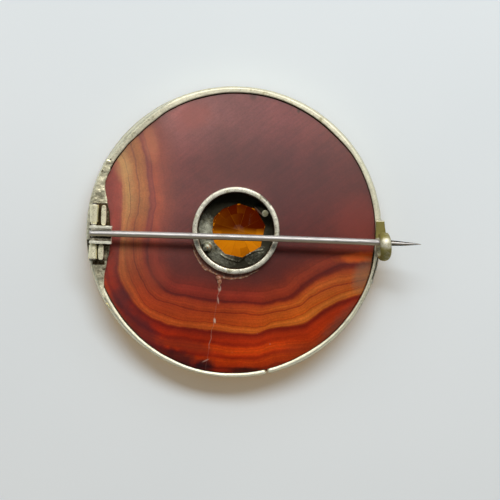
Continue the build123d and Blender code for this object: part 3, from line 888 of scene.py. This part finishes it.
# Catch: a strip along the rim that curls up and over into a C

catch = dict(
    x=22.0, turn=math.radians(3),
    stripEnd=1.75, stripSlope=0.22, stripWide=1.34, hookWide=1.72, lean=0.6,
    thick=0.6, sideThick=0.22,
    bottom=4.87, lowCentreY=-2.51, highCentreY=-2.01, centreZ=6.8, radius=1.93,
    mouth=78, arcSteps=9,
    # Where the strip is drawn on to before it curls, and between which places it grows wider
    stops=(1.55, 1.2, 0.4, -0.4, -1.2, -1.9, -2.51), growFrom=1, growTo=-1.3,
    # Shares of film: on the strip's end, on the strip, on the lower half of the hook
    endFilm=-0.1, stripFilm=0.95, lowFilm=0.5,
    rubbedHighlightAt=-1.75,  # the place of the hook that the pin rubs, kept clean as a painted highlight
)


def catchSection():
    # Flat inside, domed outside: distance across, distance out from the inner face
    half, thick, side = 0.5, catch["thick"], catch["sideThick"]
    section = [
        (-half, side), (-half + 0.02, 0.05), (-half + 0.08, 0.0), (0.0, 0.0),
        (half - 0.08, 0.0), (half - 0.02, 0.05), (half, side),
    ]
    for share in (0.86, 0.6, 0.3, 0.0, -0.3, -0.6, -0.86):
        section.append((half * share, side + (thick - side) * math.sqrt(1 - share**2)))
    return section


def makeCatch(material):
    # The section stands across the strip, its domed side down, and is carried along the path
    inner = catch["bottom"] + catch["thick"]
    start = catch["stripEnd"]
    outline = [(x * catch["stripWide"], start, inner - out) for x, out in catchSection()]
    piece = drawLine(outline, closed=True, filled=True)
    bpy.ops.mesh.select_all(action="SELECT")
    for y in catch["stops"]:
        pullOut(0, y - start, 0)
        start = y
        if catch["growTo"] < y < catch["growFrom"]:
            grown = (catch["hookWide"] / catch["stripWide"]) ** (1 / 3)  # in three steps
            bpy.ops.transform.resize(value=(grown, 1, 1), center_override=(0, y, inner))
    for centreY, angle, steps in (
        (catch["lowCentreY"], 180, 2 * catch["arcSteps"]),
        (catch["highCentreY"], catch["mouth"], catch["arcSteps"]),
    ):
        bpy.ops.mesh.spin(
            steps=steps, angle=math.radians(angle), center=(0, centreY, catch["centreZ"]), axis=(1, 0, 0),
        )
        if angle == 180:
            pullOut(0, catch["highCentreY"] - catch["lowCentreY"], 0)
    tidyMesh(piece)
    modify(piece, "BEVEL", width=0.06, segments=2, limit_method="ANGLE", angle_limit=math.radians(60))
    modify(piece, "SUBSURF", levels=2, render_levels=2)
    c, s = math.cos(catch["turn"]), math.sin(catch["turn"])

    def place(co):
        y = co.y
        if y > 1.2:  # the strip's end is cut off at a slope
            y -= catch["stripSlope"] * (co.z - catch["bottom"]) / catch["thick"]
        # Above the strip the hook is narrower towards both its ends
        middle = (catch["lowCentreY"] + catch["highCentreY"]) / 2 + 0.1
        off = min(1.0, abs(y - middle) / (catch["radius"] + 0.3))
        narrow = 1 - 0.3 * (1 - math.sqrt(1 - off * off)) if co.z > catch["bottom"] + 1.2 or y < middle else 1
        x = co.x * narrow
        x += catch["lean"] * max(0.0, co.z - catch["bottom"] - catch["thick"]) / (2 * catch["radius"])
        return Vector((catch["x"] + c * x - s * y, s * x + c * y, co.z))

    reshape(piece, place)
    roughen(piece, 0.9, 0.05)

    # Brown film on the strip and on the hook, less where the pin rubs, a clean spot that is also a painted
    # highlight
    def filmAndHighlight(co):
        if co.z < catch["bottom"] + 1.3:
            return catch["endFilm"] if co.y > 1.5 else catch["stripFilm"] if co.y > -0.9 else catch["lowFilm"]
        leftSide = smooth(0.1, -0.7, co.x - catch["x"] - 0.5)
        rubbedHighlight = smooth(1.1, 0.3, abs(co.y - catch["rubbedHighlightAt"]))
        return 0.68 + 0.3 * leftSide - 0.5 * rubbedHighlight

    markGrimeAndShade(piece, filmAndHighlight)
    return finishPiece(piece, "catch_hook", "brooch", material)


# Collar, the tube that lines the hole of the stone

collar = dict(
    x=0.315, y=0.15, steps=180,
    # Radius and height, up the inside and down the outside
    section=(
        (5.77, 1.94), (5.75, 3.0), (5.75, 4.2), (5.76, 5.22), (5.79, 5.36), (5.87, 5.42), (6.0, 5.44),
        (6.17, 5.445), (6.36, 5.435), (6.47, 5.39), (6.53, 5.28), (6.55, 5.1), (6.55, 4.7), (6.5, 3.5),
        (6.5, 1.94),
    ),
    wornTop=0.05,
    # Shares of dirt: inside, where it is also painted shade, on the nick at the upper right, on the foot of
    # the outside
    insideDirtAndShade=1.1, nickDirt=0.6, footDirt=0.3,
)


def makeCollar(material):
    piece = spinSection(collar["section"], collar["steps"])
    modify(piece, "SUBSURF", levels=1, render_levels=1)

    def place(co):
        angle = math.atan2(co.y, co.x)
        worn = collar["wornTop"] * noise.noise(Vector((math.cos(angle), math.sin(angle), 0)) * 2.3)
        return Vector((co.x + collar["x"], co.y + collar["y"], co.z + (worn - 0.02 if co.z > 5 else 0)))

    reshape(piece, place)
    roughen(piece, 0.6, 0.04)

    # Its inside is black with dirt and painted shade, and its rim is dull at the right and the lower left,
    # and bare at the top
    def collarGrimeAndShade(co):
        x, y = co.x - collar["x"], co.y - collar["y"]
        radius = math.hypot(x, y)
        if radius < 5.86 and co.z < 5.3:
            return collar["insideDirtAndShade"]
        if 36 < math.degrees(math.atan2(y, x)) < 56 and radius > 6.28:
            return collar["nickDirt"]
        if radius > 6.42 and co.z < 5.0:
            return collar["footDirt"]
        return 0.1 + (0.25 if x > 0 and y < 1 else 0.15 if x < -3 and y < -2 else -0.4 * smooth(3.5, 5.5, y))

    markGrimeAndShade(piece, collarGrimeAndShade)
    return finishPiece(piece, "collar_tube", "brooch", material, ("collar_ring",))


# Setting: seat plate with its hand-sawn opening, two wire prongs, and the collet on the front

setting = dict(
    stoneX=0.75, stoneY=0.18,
    plateLow=2.2, plateHigh=2.5, plateRadius=5.71,
    # Corners of the opening: angle, radius
    corners=(
        (11, 4.05), (52, 4.15), (90, 4.12), (127, 4.1), (153, 4.3), (180, 4.0), (205, 4.15), (239, 4.1),
        (277, 4.1), (324, 4.1),
    ),
    # Prongs: foot, tip, radius
    prongs=(((3.6, 3.75, 2.4), (4.75, 2.66, 4.93), 0.53), ((-4.1, -2.4, 2.4), (-4.38, -2.58, 3.95), 0.37)),
    # Burr along the sawn edge, and the dark hollow beside it: x, y, half width, half height
    burr=((-2.0, -3.4), (-1.3, -4.05), (0.7, -4.6), (1.15, -4.3), (1.95, -3.45), (3.3, -2.85), (4.4, -2.8)),
    burrRadius=0.1, hollow=(3.1, -4.1, 1.5, 0.95),
    # Solder heaped round the foot of the lower prong
    moundRadius=0.78, moundHeight=0.85,
    # Where the plate is cleaner and painted as lit, left, below and lower right: x, y, half width, half
    # height, share
    cleanerAndLit=((-4.3, 0.3, 2.4, 3.6, 0.75), (-2.4, -3.9, 4.3, 2.9, 0.65), (3.6, -3.2, 2.4, 2.4, 0.45)),
    # Section of the collet, from its foot ring out over the flange and in to the stone: radius, height
    collet=(
        (4.62, 0.03), (4.75, 0.0), (5.05, 0.0), (5.2, 0.05), (5.3, 0.3), (5.42, 0.75), (5.55, 1.12),
        (5.75, 1.2), (7.2, 1.2), (7.37, 1.27), (7.4, 1.4), (7.4, 1.7), (7.36, 1.84), (7.22, 1.9),
        (6.4, 1.9), (5.2, 1.9), (4.34, 1.9), (4.34, 1.45), (3.76, 1.06),
    ),
    grain=0.08,
)


def makeBurr():
    burr = drawLine([(x, y, setting["plateHigh"]) for x, y in setting["burr"]])
    modify(burr, "SUBSURF", levels=2, render_levels=2)
    takeUp(burr)
    bpy.ops.object.convert(target="CURVE")
    burr.data.bevel_depth = setting["burrRadius"]
    burr.data.use_fill_caps = True
    bpy.ops.object.convert(target="MESH")
    return bpy.context.object


def makeSeatPlate(material):
    plate = addShape(
        bpy.ops.mesh.primitive_circle_add, vertices=90, radius=setting["plateRadius"],
        location=(collar["x"], collar["y"], setting["plateHigh"]),
    )
    corners = []
    for angle, radius in setting["corners"]:
        turn = math.radians(angle)
        x, y = setting["stoneX"] + radius * math.cos(turn), setting["stoneY"] + radius * math.sin(turn)
        corners.append(Vector((x, y, setting["plateHigh"])))
    # Each sawn side has six steps, which bridge evenly to the round edge
    sawn = []
    for start, end in zip(corners, corners[1:] + corners[:1]):
        for step in range(6):
            sawn.append(tuple(start + (end - start) * step / 6))
    plate = joinPieces([plate, drawLine(sawn, closed=True)])
    editPiece(plate)
    bpy.ops.mesh.select_mode(type="EDGE")
    bpy.ops.mesh.bridge_edge_loops()
    bpy.ops.object.mode_set(mode="OBJECT")
    tidyMesh(plate)
    depth = setting["plateHigh"] - setting["plateLow"]
    modify(plate, "SOLIDIFY", thickness=depth, offset=0)
    reshape(plate, lambda co: Vector((co.x, co.y, co.z - depth / 2)))
    parts = [plate]
    for foot, tip, radius in setting["prongs"]:
        way = Vector(tip) - Vector(foot)
        parts.append(addShape(
            bpy.ops.mesh.primitive_cylinder_add, vertices=28, radius=radius, depth=way.length,
            location=Vector(foot) + way / 2, rotation=way.to_track_quat("Z", "Y").to_euler(),
        ))
    parts.append(addShape(
        bpy.ops.mesh.primitive_uv_sphere_add, segments=32, ring_count=16, radius=1,
        location=(*setting["prongs"][1][0][:2], setting["plateHigh"]),
        scale=(setting["moundRadius"], setting["moundRadius"], setting["moundHeight"]),
    ))
    parts.append(makeBurr())
    piece = solder(parts, setting["grain"], 1)
    roughen(piece, 0.7, 0.06)

    # The heads of the prongs are bright, the burr is clean, and the rest is blackest at the top and right,
    # with dirt and painted shadow
    def plateGrimeAndShade(co):
        heads = [(co - Vector(tip)).length - radius for foot, tip, radius in setting["prongs"]]
        if min(heads) < 0.03:
            return -0.35
        if co.z > setting["plateHigh"] + 0.09 and math.hypot(co.x, co.y) < 4.95:
            return 0.1
        if nearness(co.x, co.y, *setting["hollow"]) > 0:
            return 0.7
        share = 1.0
        for x, y, wide, high, cleanedAndLit in setting["cleanerAndLit"]:
            share -= cleanedAndLit * nearness(co.x, co.y, x, y, wide, high)
        return share

    markGrimeAndShade(piece, plateGrimeAndShade)
    return finishPiece(piece, "seat_plate", "brooch", material, ("stone_setting",))


def makeCollet(material):
    piece = spinSection(setting["collet"], 160)
    reshape(piece, lambda co: co + Vector((setting["stoneX"], setting["stoneY"], 0)))
    modify(piece, "SUBSURF", levels=1, render_levels=1)
    roughen(piece, 1.2, 0.03)
    # It stands flat on the paper
    reshape(piece, lambda co: Vector((co.x, co.y, max(co.z, 0.0))))
    return finishPiece(piece, "front_collet", "brooch", material)


# Pin: folded root on the hinge wire, and the ground steel wire

pin = dict(
    cheeks=((-1.5, -1.08), (0.78, 1.2)),
    heel=0.65, bore=0.4, boreLength=6, back=-0.5, end=2.76, top=6.9, bottom=5.3, middleY=-0.15,
    bridgeStart=0.5, bridgeLow=5.71, bridgeHigh=6.11, bridgeWide=2.3,
    # Slopes inside the channel, one for each cheek: y at the wall, y at the wire
    slopes=((-1.25, -0.52), (0.98, 0.42)),
    slopeFoot=6.3, chamferTo=0.75, chamferSlope=0.6,
    grain=0.06,
    # The wire: height at the hinge, rise over its length, sideways bow, and profile as place, radius
    height=6.6, rise=0.6, riseLength=43.5, start=-0.6, bow=0.13, bowLength=46,
    profile=(
        (-0.6, 0.36), (-0.5, 0.45), (-0.3, 0.47), (10, 0.47), (20, 0.47), (30, 0.47), (42.5, 0.47),
        (44.2, 0.455), (45.9, 0.39), (47.4, 0.24), (48.3, 0.13), (48.95, 0.04),
    ),
    wireSides=28, groundFrom=43, groundLength=6, groundFlat=0.22,
)


def makePinRoot(material):
    turn, base = hinge["turn"], pin["bridgeLow"]
    back, end, top = pin["back"], pin["end"], pin["top"]
    side = ((back, hinge["z"]), (back, top), (end, top), (end, pin["bottom"]), (0, hinge["z"] - pin["heel"]))
    parts = []
    for low, high in pin["cheeks"]:
        parts.append(addShape(
            bpy.ops.mesh.primitive_cylinder_add, vertices=40, radius=pin["heel"], depth=high - low,
            location=atHinge(0, (low + high) / 2, hinge["z"]), rotation=(math.pi / 2, 0, turn),
        ))
        cheek = makeBar([(x, low, z) for x, z in side], (0, high - low, 0))
        reshape(cheek, lambda co: atHinge(co.x, co.y, co.z))
        parts.append(cheek)

    # The slopes rise towards the back, to leave the hinge wire free
    def chamfer(co):
        height = co.z
        if co.x < pin["chamferTo"]:
            height = max(height, base + (pin["chamferTo"] - co.x) * pin["chamferSlope"])
        return atHinge(co.x, co.y, height)

    for (wallY, wireY), (low, high) in zip(pin["slopes"], pin["cheeks"]):
        middle = (low + high) / 2
        section = (
            (middle, top - 0.06), (wallY, top - 0.02), (wireY, pin["slopeFoot"]), (wireY, base),
            (middle, base),
        )
        slope = makeBar([(back + 0.1, y, z) for y, z in section], (end - back - 0.13, 0, 0))
        reshape(slope, chamfer)
        parts.append(slope)
    parts.append(addShape(
        bpy.ops.mesh.primitive_cube_add, size=1,
        location=atHinge((pin["bridgeStart"] + end) / 2, pin["middleY"], (base + pin["bridgeHigh"]) / 2),
        rotation=(0, 0, turn), scale=(end - pin["bridgeStart"], pin["bridgeWide"], pin["bridgeHigh"] - base),
    ))
    piece = solder(parts, pin["grain"], 1)
    axis = (math.pi / 2, 0, turn)
    drillHole(piece, pin["bore"], pin["boreLength"], atHinge(0, pin["middleY"], hinge["z"]), axis)
    roughen(piece, 0.8, 0.04)

    # Dirt stays inside the channel, most of all on its lower side, where the darkening is partly painted
    # shadow of the pin
    def channelGrimeAndShade(co):
        across, along = fromHinge(co)
        inside = -1.2 < along < 0.85 and co.z < pin["top"] - 0.1 and across < pin["end"] - 0.05
        return (0.7 if along < -0.3 else 0.2) if inside else -0.5

    markGrimeAndShade(piece, channelGrimeAndShade)
    return finishPiece(piece, "pin_root", "pin", material, ("pin_channel",))


def wireBow(along):
    return pin["bow"] * math.sin(math.pi * min(1, max(0, along / pin["bowLength"]))) ** 0.6


def makePinWire(material):
    piece = addShape(
        bpy.ops.mesh.primitive_circle_add, vertices=pin["wireSides"], radius=pin["profile"][0][1],
        fill_type="NGON", location=(0, 0, 0), rotation=(0, math.pi / 2, 0),
    )
    bpy.ops.object.transform_apply(location=True, rotation=True, scale=True)
    bpy.ops.object.mode_set(mode="EDIT")
    bpy.ops.transform.translate(value=(pin["start"], 0, 0))
    for (start, startRadius), (end, endRadius) in zip(pin["profile"], pin["profile"][1:]):
        pullOut(end - start, 0, 0)
        grown = endRadius / startRadius
        bpy.ops.transform.resize(value=(1, grown, grown), center_override=(end, 0, 0))
    tidyMesh(piece)
    climb = math.atan2(pin["rise"], pin["riseLength"])

    # The wire is very slightly bowed, and its point was ground a little flat on two sides
    def place(co):
        along = co.x * math.cos(climb)
        up = pin["height"] + co.x * math.sin(climb) + co.z
        flat = 1 - pin["groundFlat"] * max(0.0, (co.x - pin["groundFrom"]) / pin["groundLength"])
        return atHinge(along, co.y * flat + wireBow(along), up)

    modify(piece, "SUBSURF", levels=1, render_levels=1)
    reshape(piece, place)

    # Black on the ground flats, black painted shade along the lower edge, and an olive film partly of painted
    # shade on the lower side
    def wireGrimeAndShade(co):
        across, along = fromHinge(co)
        side = (along - wireBow(across)) / fromTable(pin["profile"], across)
        if across > 43.9 and abs(side) > 0.4:
            return 1.4
        if side < -0.8:
            return 0.95 - 0.3 * smooth(24, 34, across)
        return 0.5 if side < -0.15 else 0.0

    markGrimeAndShade(piece, wireGrimeAndShade)
    return finishPiece(piece, "pin_needle", "pin", material, ("pin_wire",), 40)


# Old glue that was squeezed out beside the collar

glue = dict(
    radius=6.95, start=197, end=300, height=4.585, wide=0.5, thick=0.07,
    # Section of the film, in half widths and thicknesses
    section=((-1, 0), (-0.8, 0.5), (0.3, 0.45), (0.72, 0.9), (0.9, 0.8), (1, 0)),
    # It has its full width between these angles
    fullFrom=215, fullTo=262,
    # Drip down the crack: x, y, half width, half height, how thick
    drips=((-2.3, -6.95, 0.44, 0.4, 0.3), (-2.15, -7.45, 0.34, 0.5, 0.22), (-2.2, -8.1, 0.13, 0.5, 0.12)),
)


def makeGlue(material):
    span = math.radians(glue["end"] - glue["start"])
    section = []
    for x, z in glue["section"]:
        section.append((glue["radius"] + glue["wide"] * x, glue["height"] + glue["thick"] * z))
    piece = spinSection(section, 60, span)

    def place(co):
        angle = math.atan2(co.y, co.x) + math.radians(glue["end"])
        radius = math.hypot(co.x, co.y)
        spot = Vector((math.cos(angle), math.sin(angle), 0))
        ragged = 0.35 * noise.noise(spot * 3.1) + 0.1 * noise.noise(spot * 17)
        degrees = math.degrees(angle) % 360
        wide = smooth(glue["start"], glue["fullFrom"], degrees) * smooth(glue["end"], glue["fullTo"], degrees)
        share = max(0.0, radius - glue["radius"] + glue["wide"]) / (2 * glue["wide"])
        radius += share * (ragged + 0.5 * wide - 0.55)
        return Vector((collar["x"] + radius * math.cos(angle), collar["y"] + radius * math.sin(angle), co.z))

    reshape(piece, place)
    parts = [piece]
    for x, y, wide, high, thick in glue["drips"]:
        parts.append(addShape(
            bpy.ops.mesh.primitive_uv_sphere_add, segments=24, ring_count=12, radius=1,
            location=(x, y, glue["height"] + 0.02), scale=(wide, high, thick),
        ))
    piece = joinPieces(parts)
    modify(piece, "SUBSURF", levels=1, render_levels=1)
    roughen(piece, 0.3, 0.04)
    # The film is as dark as the stone behind it, and its edge and the drip are pale
    markGrimeAndShade(piece, lambda co: smooth(glue["height"] + 0.03, glue["height"] + 0.06, co.z))
    return finishPiece(piece, "old_glue", "brooch", material)


def glueMaterial():
    material, tree, surface = newMaterial("oldGlue")
    place = placeOn(tree)
    tone = colourRamp(tree, clouds(tree, place, 2.2, 4.0, 0.6), (
        (0.32, (0.20, 0.05, 0.025)), (0.5, (0.42, 0.17, 0.08)), (0.66, (0.68, 0.50, 0.37)),
    ))
    edge = readMark(tree, "grimeAndShade")
    tone = mixColours(tree, calc(tree, "MULTIPLY_ADD", edge, 0.75, 0.1), (0.15, 0.045, 0.035), tone)
    feed(tree, surface.inputs["Base Color"], tone)
    surface.inputs["Roughness"].default_value = 0.35
    surface.inputs["Subsurface Weight"].default_value = 0.4
    surface.inputs["Subsurface Radius"].default_value = (0.6, 0.3, 0.2)
    surface.inputs["Subsurface Scale"].default_value = mm
    feed(tree, surface.inputs["Normal"], bumpBy(tree, clouds(tree, place, 5.0), 0.5, 0.03))
    return material


# Light that has gone through the citrine fills its lower half, and its facets split that light up
citrine = dict(
    sides=8, turn=5, topY=0.75, bottomY=-1.8,
    # Between these reaches the main facets give way to the girdle facets
    girdleFrom=2.5, girdleTo=2.8,
    # How far the facets of each kind differ from one another
    mainSpread=0.42, girdleSpread=0.8,
    dark=(0.02, 0.004, 0.0005), bright=(0.74, 0.31, 0.008),
    dimGlow=(0.055, 0.004, 0.0), fullGlow=(0.285, 0.084, 0.001),
)


def citrineMaterial():
    material, tree, surface = newMaterial("citrineGlass")
    place = placeOn(tree, middle=(setting["stoneX"], setting["stoneY"], 0))
    parts = addNode(tree, "SeparateXYZ", Vector=place)
    x, y = parts.outputs["X"], parts.outputs["Y"]
    reach = calc(tree, "SQRT", calc(tree, "MULTIPLY_ADD", x, x, calc(tree, "MULTIPLY", y, y)))
    turns = calc(tree, "MULTIPLY_ADD", calc(tree, "ARCTAN2", y, x), 0.5 / math.pi, 1 - citrine["turn"] / 360)
    brightness = fade(tree, y, citrine["bottomY"], citrine["topY"], 1.0, 0.0)
    brightness = calc(tree, "MULTIPLY_ADD", x, -0.035, brightness)
    # Main facets in the middle, and girdle facets round them
    for sides, shift, spread, inMiddle, atEdge in (
        (citrine["sides"], 0.5, citrine["mainSpread"], 1.0, 0.0),
        (2 * citrine["sides"], 0.0, citrine["girdleSpread"], 0.0, 1.0),
    ):
        steps = calc(tree, "MULTIPLY_ADD", turns, sides, shift)
        number = calc(tree, "FLOOR", steps)
        chance = addNode(tree, "TexWhiteNoise", {"noise_dimensions": "1D"}, W=number).outputs["Value"]
        chance = calc(tree, "MULTIPLY_ADD", chance, spread, -spread / 2)
        chance = calc(tree, "MULTIPLY", chance, fade(tree, y, -1.5, 1.0, 1.0, 0.22))
        here = fade(tree, reach, citrine["girdleFrom"], citrine["girdleTo"], inMiddle, atEdge)
        brightness = calc(tree, "MULTIPLY_ADD", chance, here, brightness)
        ridge = calc(tree, "ABSOLUTE", calc(tree, "SUBTRACT", calc(tree, "FRACT", steps), 0.5))
        ridge = calc(tree, "MULTIPLY", fade(tree, ridge, 0.45, 0.5), here)
        # A ridge is dark between bright facets and light between dark ones
        change = calc(tree, "MULTIPLY_ADD", brightness, -0.4, 0.08)
        brightness = calc(tree, "MULTIPLY_ADD", ridge, change, brightness)
    # Glints where the saw left the edge of the opening ragged
    ragged = fade(tree, clouds(tree, place, 1.6), 0.52, 0.6)
    glint = calc(tree, "MULTIPLY", fade(tree, reach, 3.8, 3.95), ragged)
    brightness = calc(tree, "ADD", brightness, glint)
    brightness = addNode(tree, "Clamp", Value=brightness).outputs[0]
    feed(tree, surface.inputs["Base Color"], mixColours(tree, brightness, citrine["dark"], citrine["bright"]))
    surface.inputs["Roughness"].default_value = 0.05
    surface.inputs["IOR"].default_value = 1.55
    surface.inputs["Transmission Weight"].default_value = 0.2
    surface.inputs["Specular IOR Level"].default_value = 0.04
    # The facets are flat
    feed(tree, surface.inputs["Normal"], addNode(tree, "NewGeometry").outputs["True Normal"])
    glow = mixColours(tree, brightness, citrine["dimGlow"], citrine["fullGlow"])
    feed(tree, surface.inputs["Emission Color"], glow)
    surface.inputs["Emission Strength"].default_value = 1.0
    return material


# Camera, floor and lights

camera = dict(x=2.43, y=-2.76, planeHeight=4.95, distance=260.05, field=75.0, sensor=36.0)

light = dict(
    target=(0, 0, 3), distance=420, fromVertical=37, azimuth=80, wide=430, high=125, energy=1.4,
    colour=(1.0, 0.985, 0.96),
    sky=(0.96, 1.0, 0.99), skyStrength=0.8, zenith=0.035, darkSide=0.34,
    warmth=(1.0, 0.48, 0.1), warmStrength=0.85,
)


def makeCamera():
    data = bpy.data.cameras.new("studioCamera")
    data.sensor_width = camera["sensor"]
    data.lens = camera["sensor"] * camera["distance"] / camera["field"]
    data.clip_start = 0.01
    viewer = bpy.data.objects.new("studioCamera", data)
    viewer.location = (camera["x"] * mm, camera["y"] * mm, (camera["planeHeight"] + camera["distance"]) * mm)
    bpy.context.scene.collection.objects.link(viewer)
    bpy.context.scene.camera = viewer


def makeFloor():
    floor = addShape(bpy.ops.mesh.primitive_plane_add, size=3.0, location=(0, 0, 0))
    floor.name = "paper_floor"
    material, tree, surface = newMaterial("palePaper")
    tone = colourRamp(tree, clouds(tree, placeOn(tree), 0.02, 2.0), (
        (0.3, (0.61, 0.742, 0.86)), (0.7, (0.635, 0.767, 0.885)),
    ))
    feed(tree, surface.inputs["Base Color"], tone)
    surface.inputs["Roughness"].default_value = 0.7
    floor.data.materials.append(material)
    return floor


def makeLights(floor):
    tilt, turn = math.radians(light["fromVertical"]), math.radians(light["azimuth"])
    way = Vector((math.sin(tilt) * math.cos(turn), math.sin(tilt) * math.sin(turn), math.cos(tilt)))
    data = bpy.data.lights.new("windowLight", "AREA")
    data.shape = "ELLIPSE"
    data.size, data.size_y = light["wide"] * mm, light["high"] * mm
    data.energy = light["energy"]
    data.color = light["colour"]
    lamp = bpy.data.objects.new("windowLight", data)
    lamp.location = (Vector(light["target"]) + way * light["distance"]) * mm
    lamp.rotation_euler = way.to_track_quat("Z", "Y").to_euler()
    bpy.context.scene.collection.objects.link(lamp)
    # The stone lets warm light through, which fills the brooch's shadow on the paper
    data = bpy.data.lights.new("warmShade", "SUN")
    data.color = light["warmth"]
    data.energy = light["warmStrength"]
    data.use_shadow = False
    lamp = bpy.data.objects.new("warmShade", data)
    bpy.context.scene.collection.objects.link(lamp)
    paperOnly = bpy.data.collections.new("paperOnly")
    paperOnly.objects.link(floor)
    lamp.light_linking.receiver_collection = paperOnly
    world = bpy.data.worlds.new("softRoom")
    bpy.context.scene.world = world
    world.use_nodes = True
    tree = world.node_tree
    sky = addNode(tree, "SeparateXYZ", Vector=addNode(tree, "TexCoord").outputs["Generated"])
    # Dark straight above, bright at the sides, and brightest behind the window
    share = fade(tree, sky.outputs["Z"], 0.5, 0.88, 1.0, light["zenith"])
    share = calc(tree, "MULTIPLY", share, fade(tree, sky.outputs["Y"], -0.6, 0.6, light["darkSide"], 1.0))
    background = tree.nodes["Background"]
    feed(tree, background.inputs["Color"], mixColours(tree, share, (0, 0, 0), light["sky"]))
    background.inputs["Strength"].default_value = light["skyStrength"]
    bpy.context.scene.view_settings.view_transform = "Standard"


makeCamera()
makeLights(makeFloor())
print("camera, floor and lights in place")

bandSilver = silverMaterial("bandSilver", tarnish=0.22, flecks=0.3, dirt=(0.05, 0.036, 0.018))
plateSilver = silverMaterial(
    "plateSilver", tarnish=0.3, rough=0.42, lumps=0.7, flecks=0.6,
    clean=(1.0, 0.94, 0.67), dirt=(0.065, 0.044, 0.02),
)
catchBrass = silverMaterial(
    "catchBrass", tarnish=0.5, rough=0.55,
    clean=(0.72, 0.69, 0.56), olive=(0.42, 0.38, 0.20), dirt=(0.30, 0.26, 0.085),
)
rootSilver = silverMaterial(
    "rootSilver", tarnish=0.2, rough=0.42, lumps=0.1, clean=(1.0, 0.97, 0.80), dirt=(0.08, 0.055, 0.025),
)
collarSilver = silverMaterial(
    "collarSilver", tarnish=0.3, scuff=0.25, lumps=0.35, flecks=0.7,
    clean=(0.94, 0.91, 0.76), dirt=(0.07, 0.055, 0.035),
)
seatSilver = silverMaterial(
    "seatSilver", tarnish=0.5, rough=0.46, lumps=0.6, flecks=0.7,
    clean=(0.70, 0.71, 0.56), dirt=(0.065, 0.06, 0.04),
)
pinSteel = steelMaterial("pinSteel")

makeAgate(agateMaterial())
makeBezel(bandSilver)
makeHingePlate(plateSilver)
makeCatch(catchBrass)
makeCollar(collarSilver)
makeSeatPlate(seatSilver)
makeCollet(collarSilver)
makePinRoot(rootSilver)
makePinWire(pinSteel)
makeGlue(glueMaterial())


# The hinge wire and the cut stone keep their own shapes
def dressNode(node, material):
    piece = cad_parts[node]
    piece.data.materials.clear()
    piece.data.materials.append(material)


dressNode("hinge_wire", pinSteel)
dressNode("citrine", citrineMaterial())
print("materials on the kept nodes")

putDown()
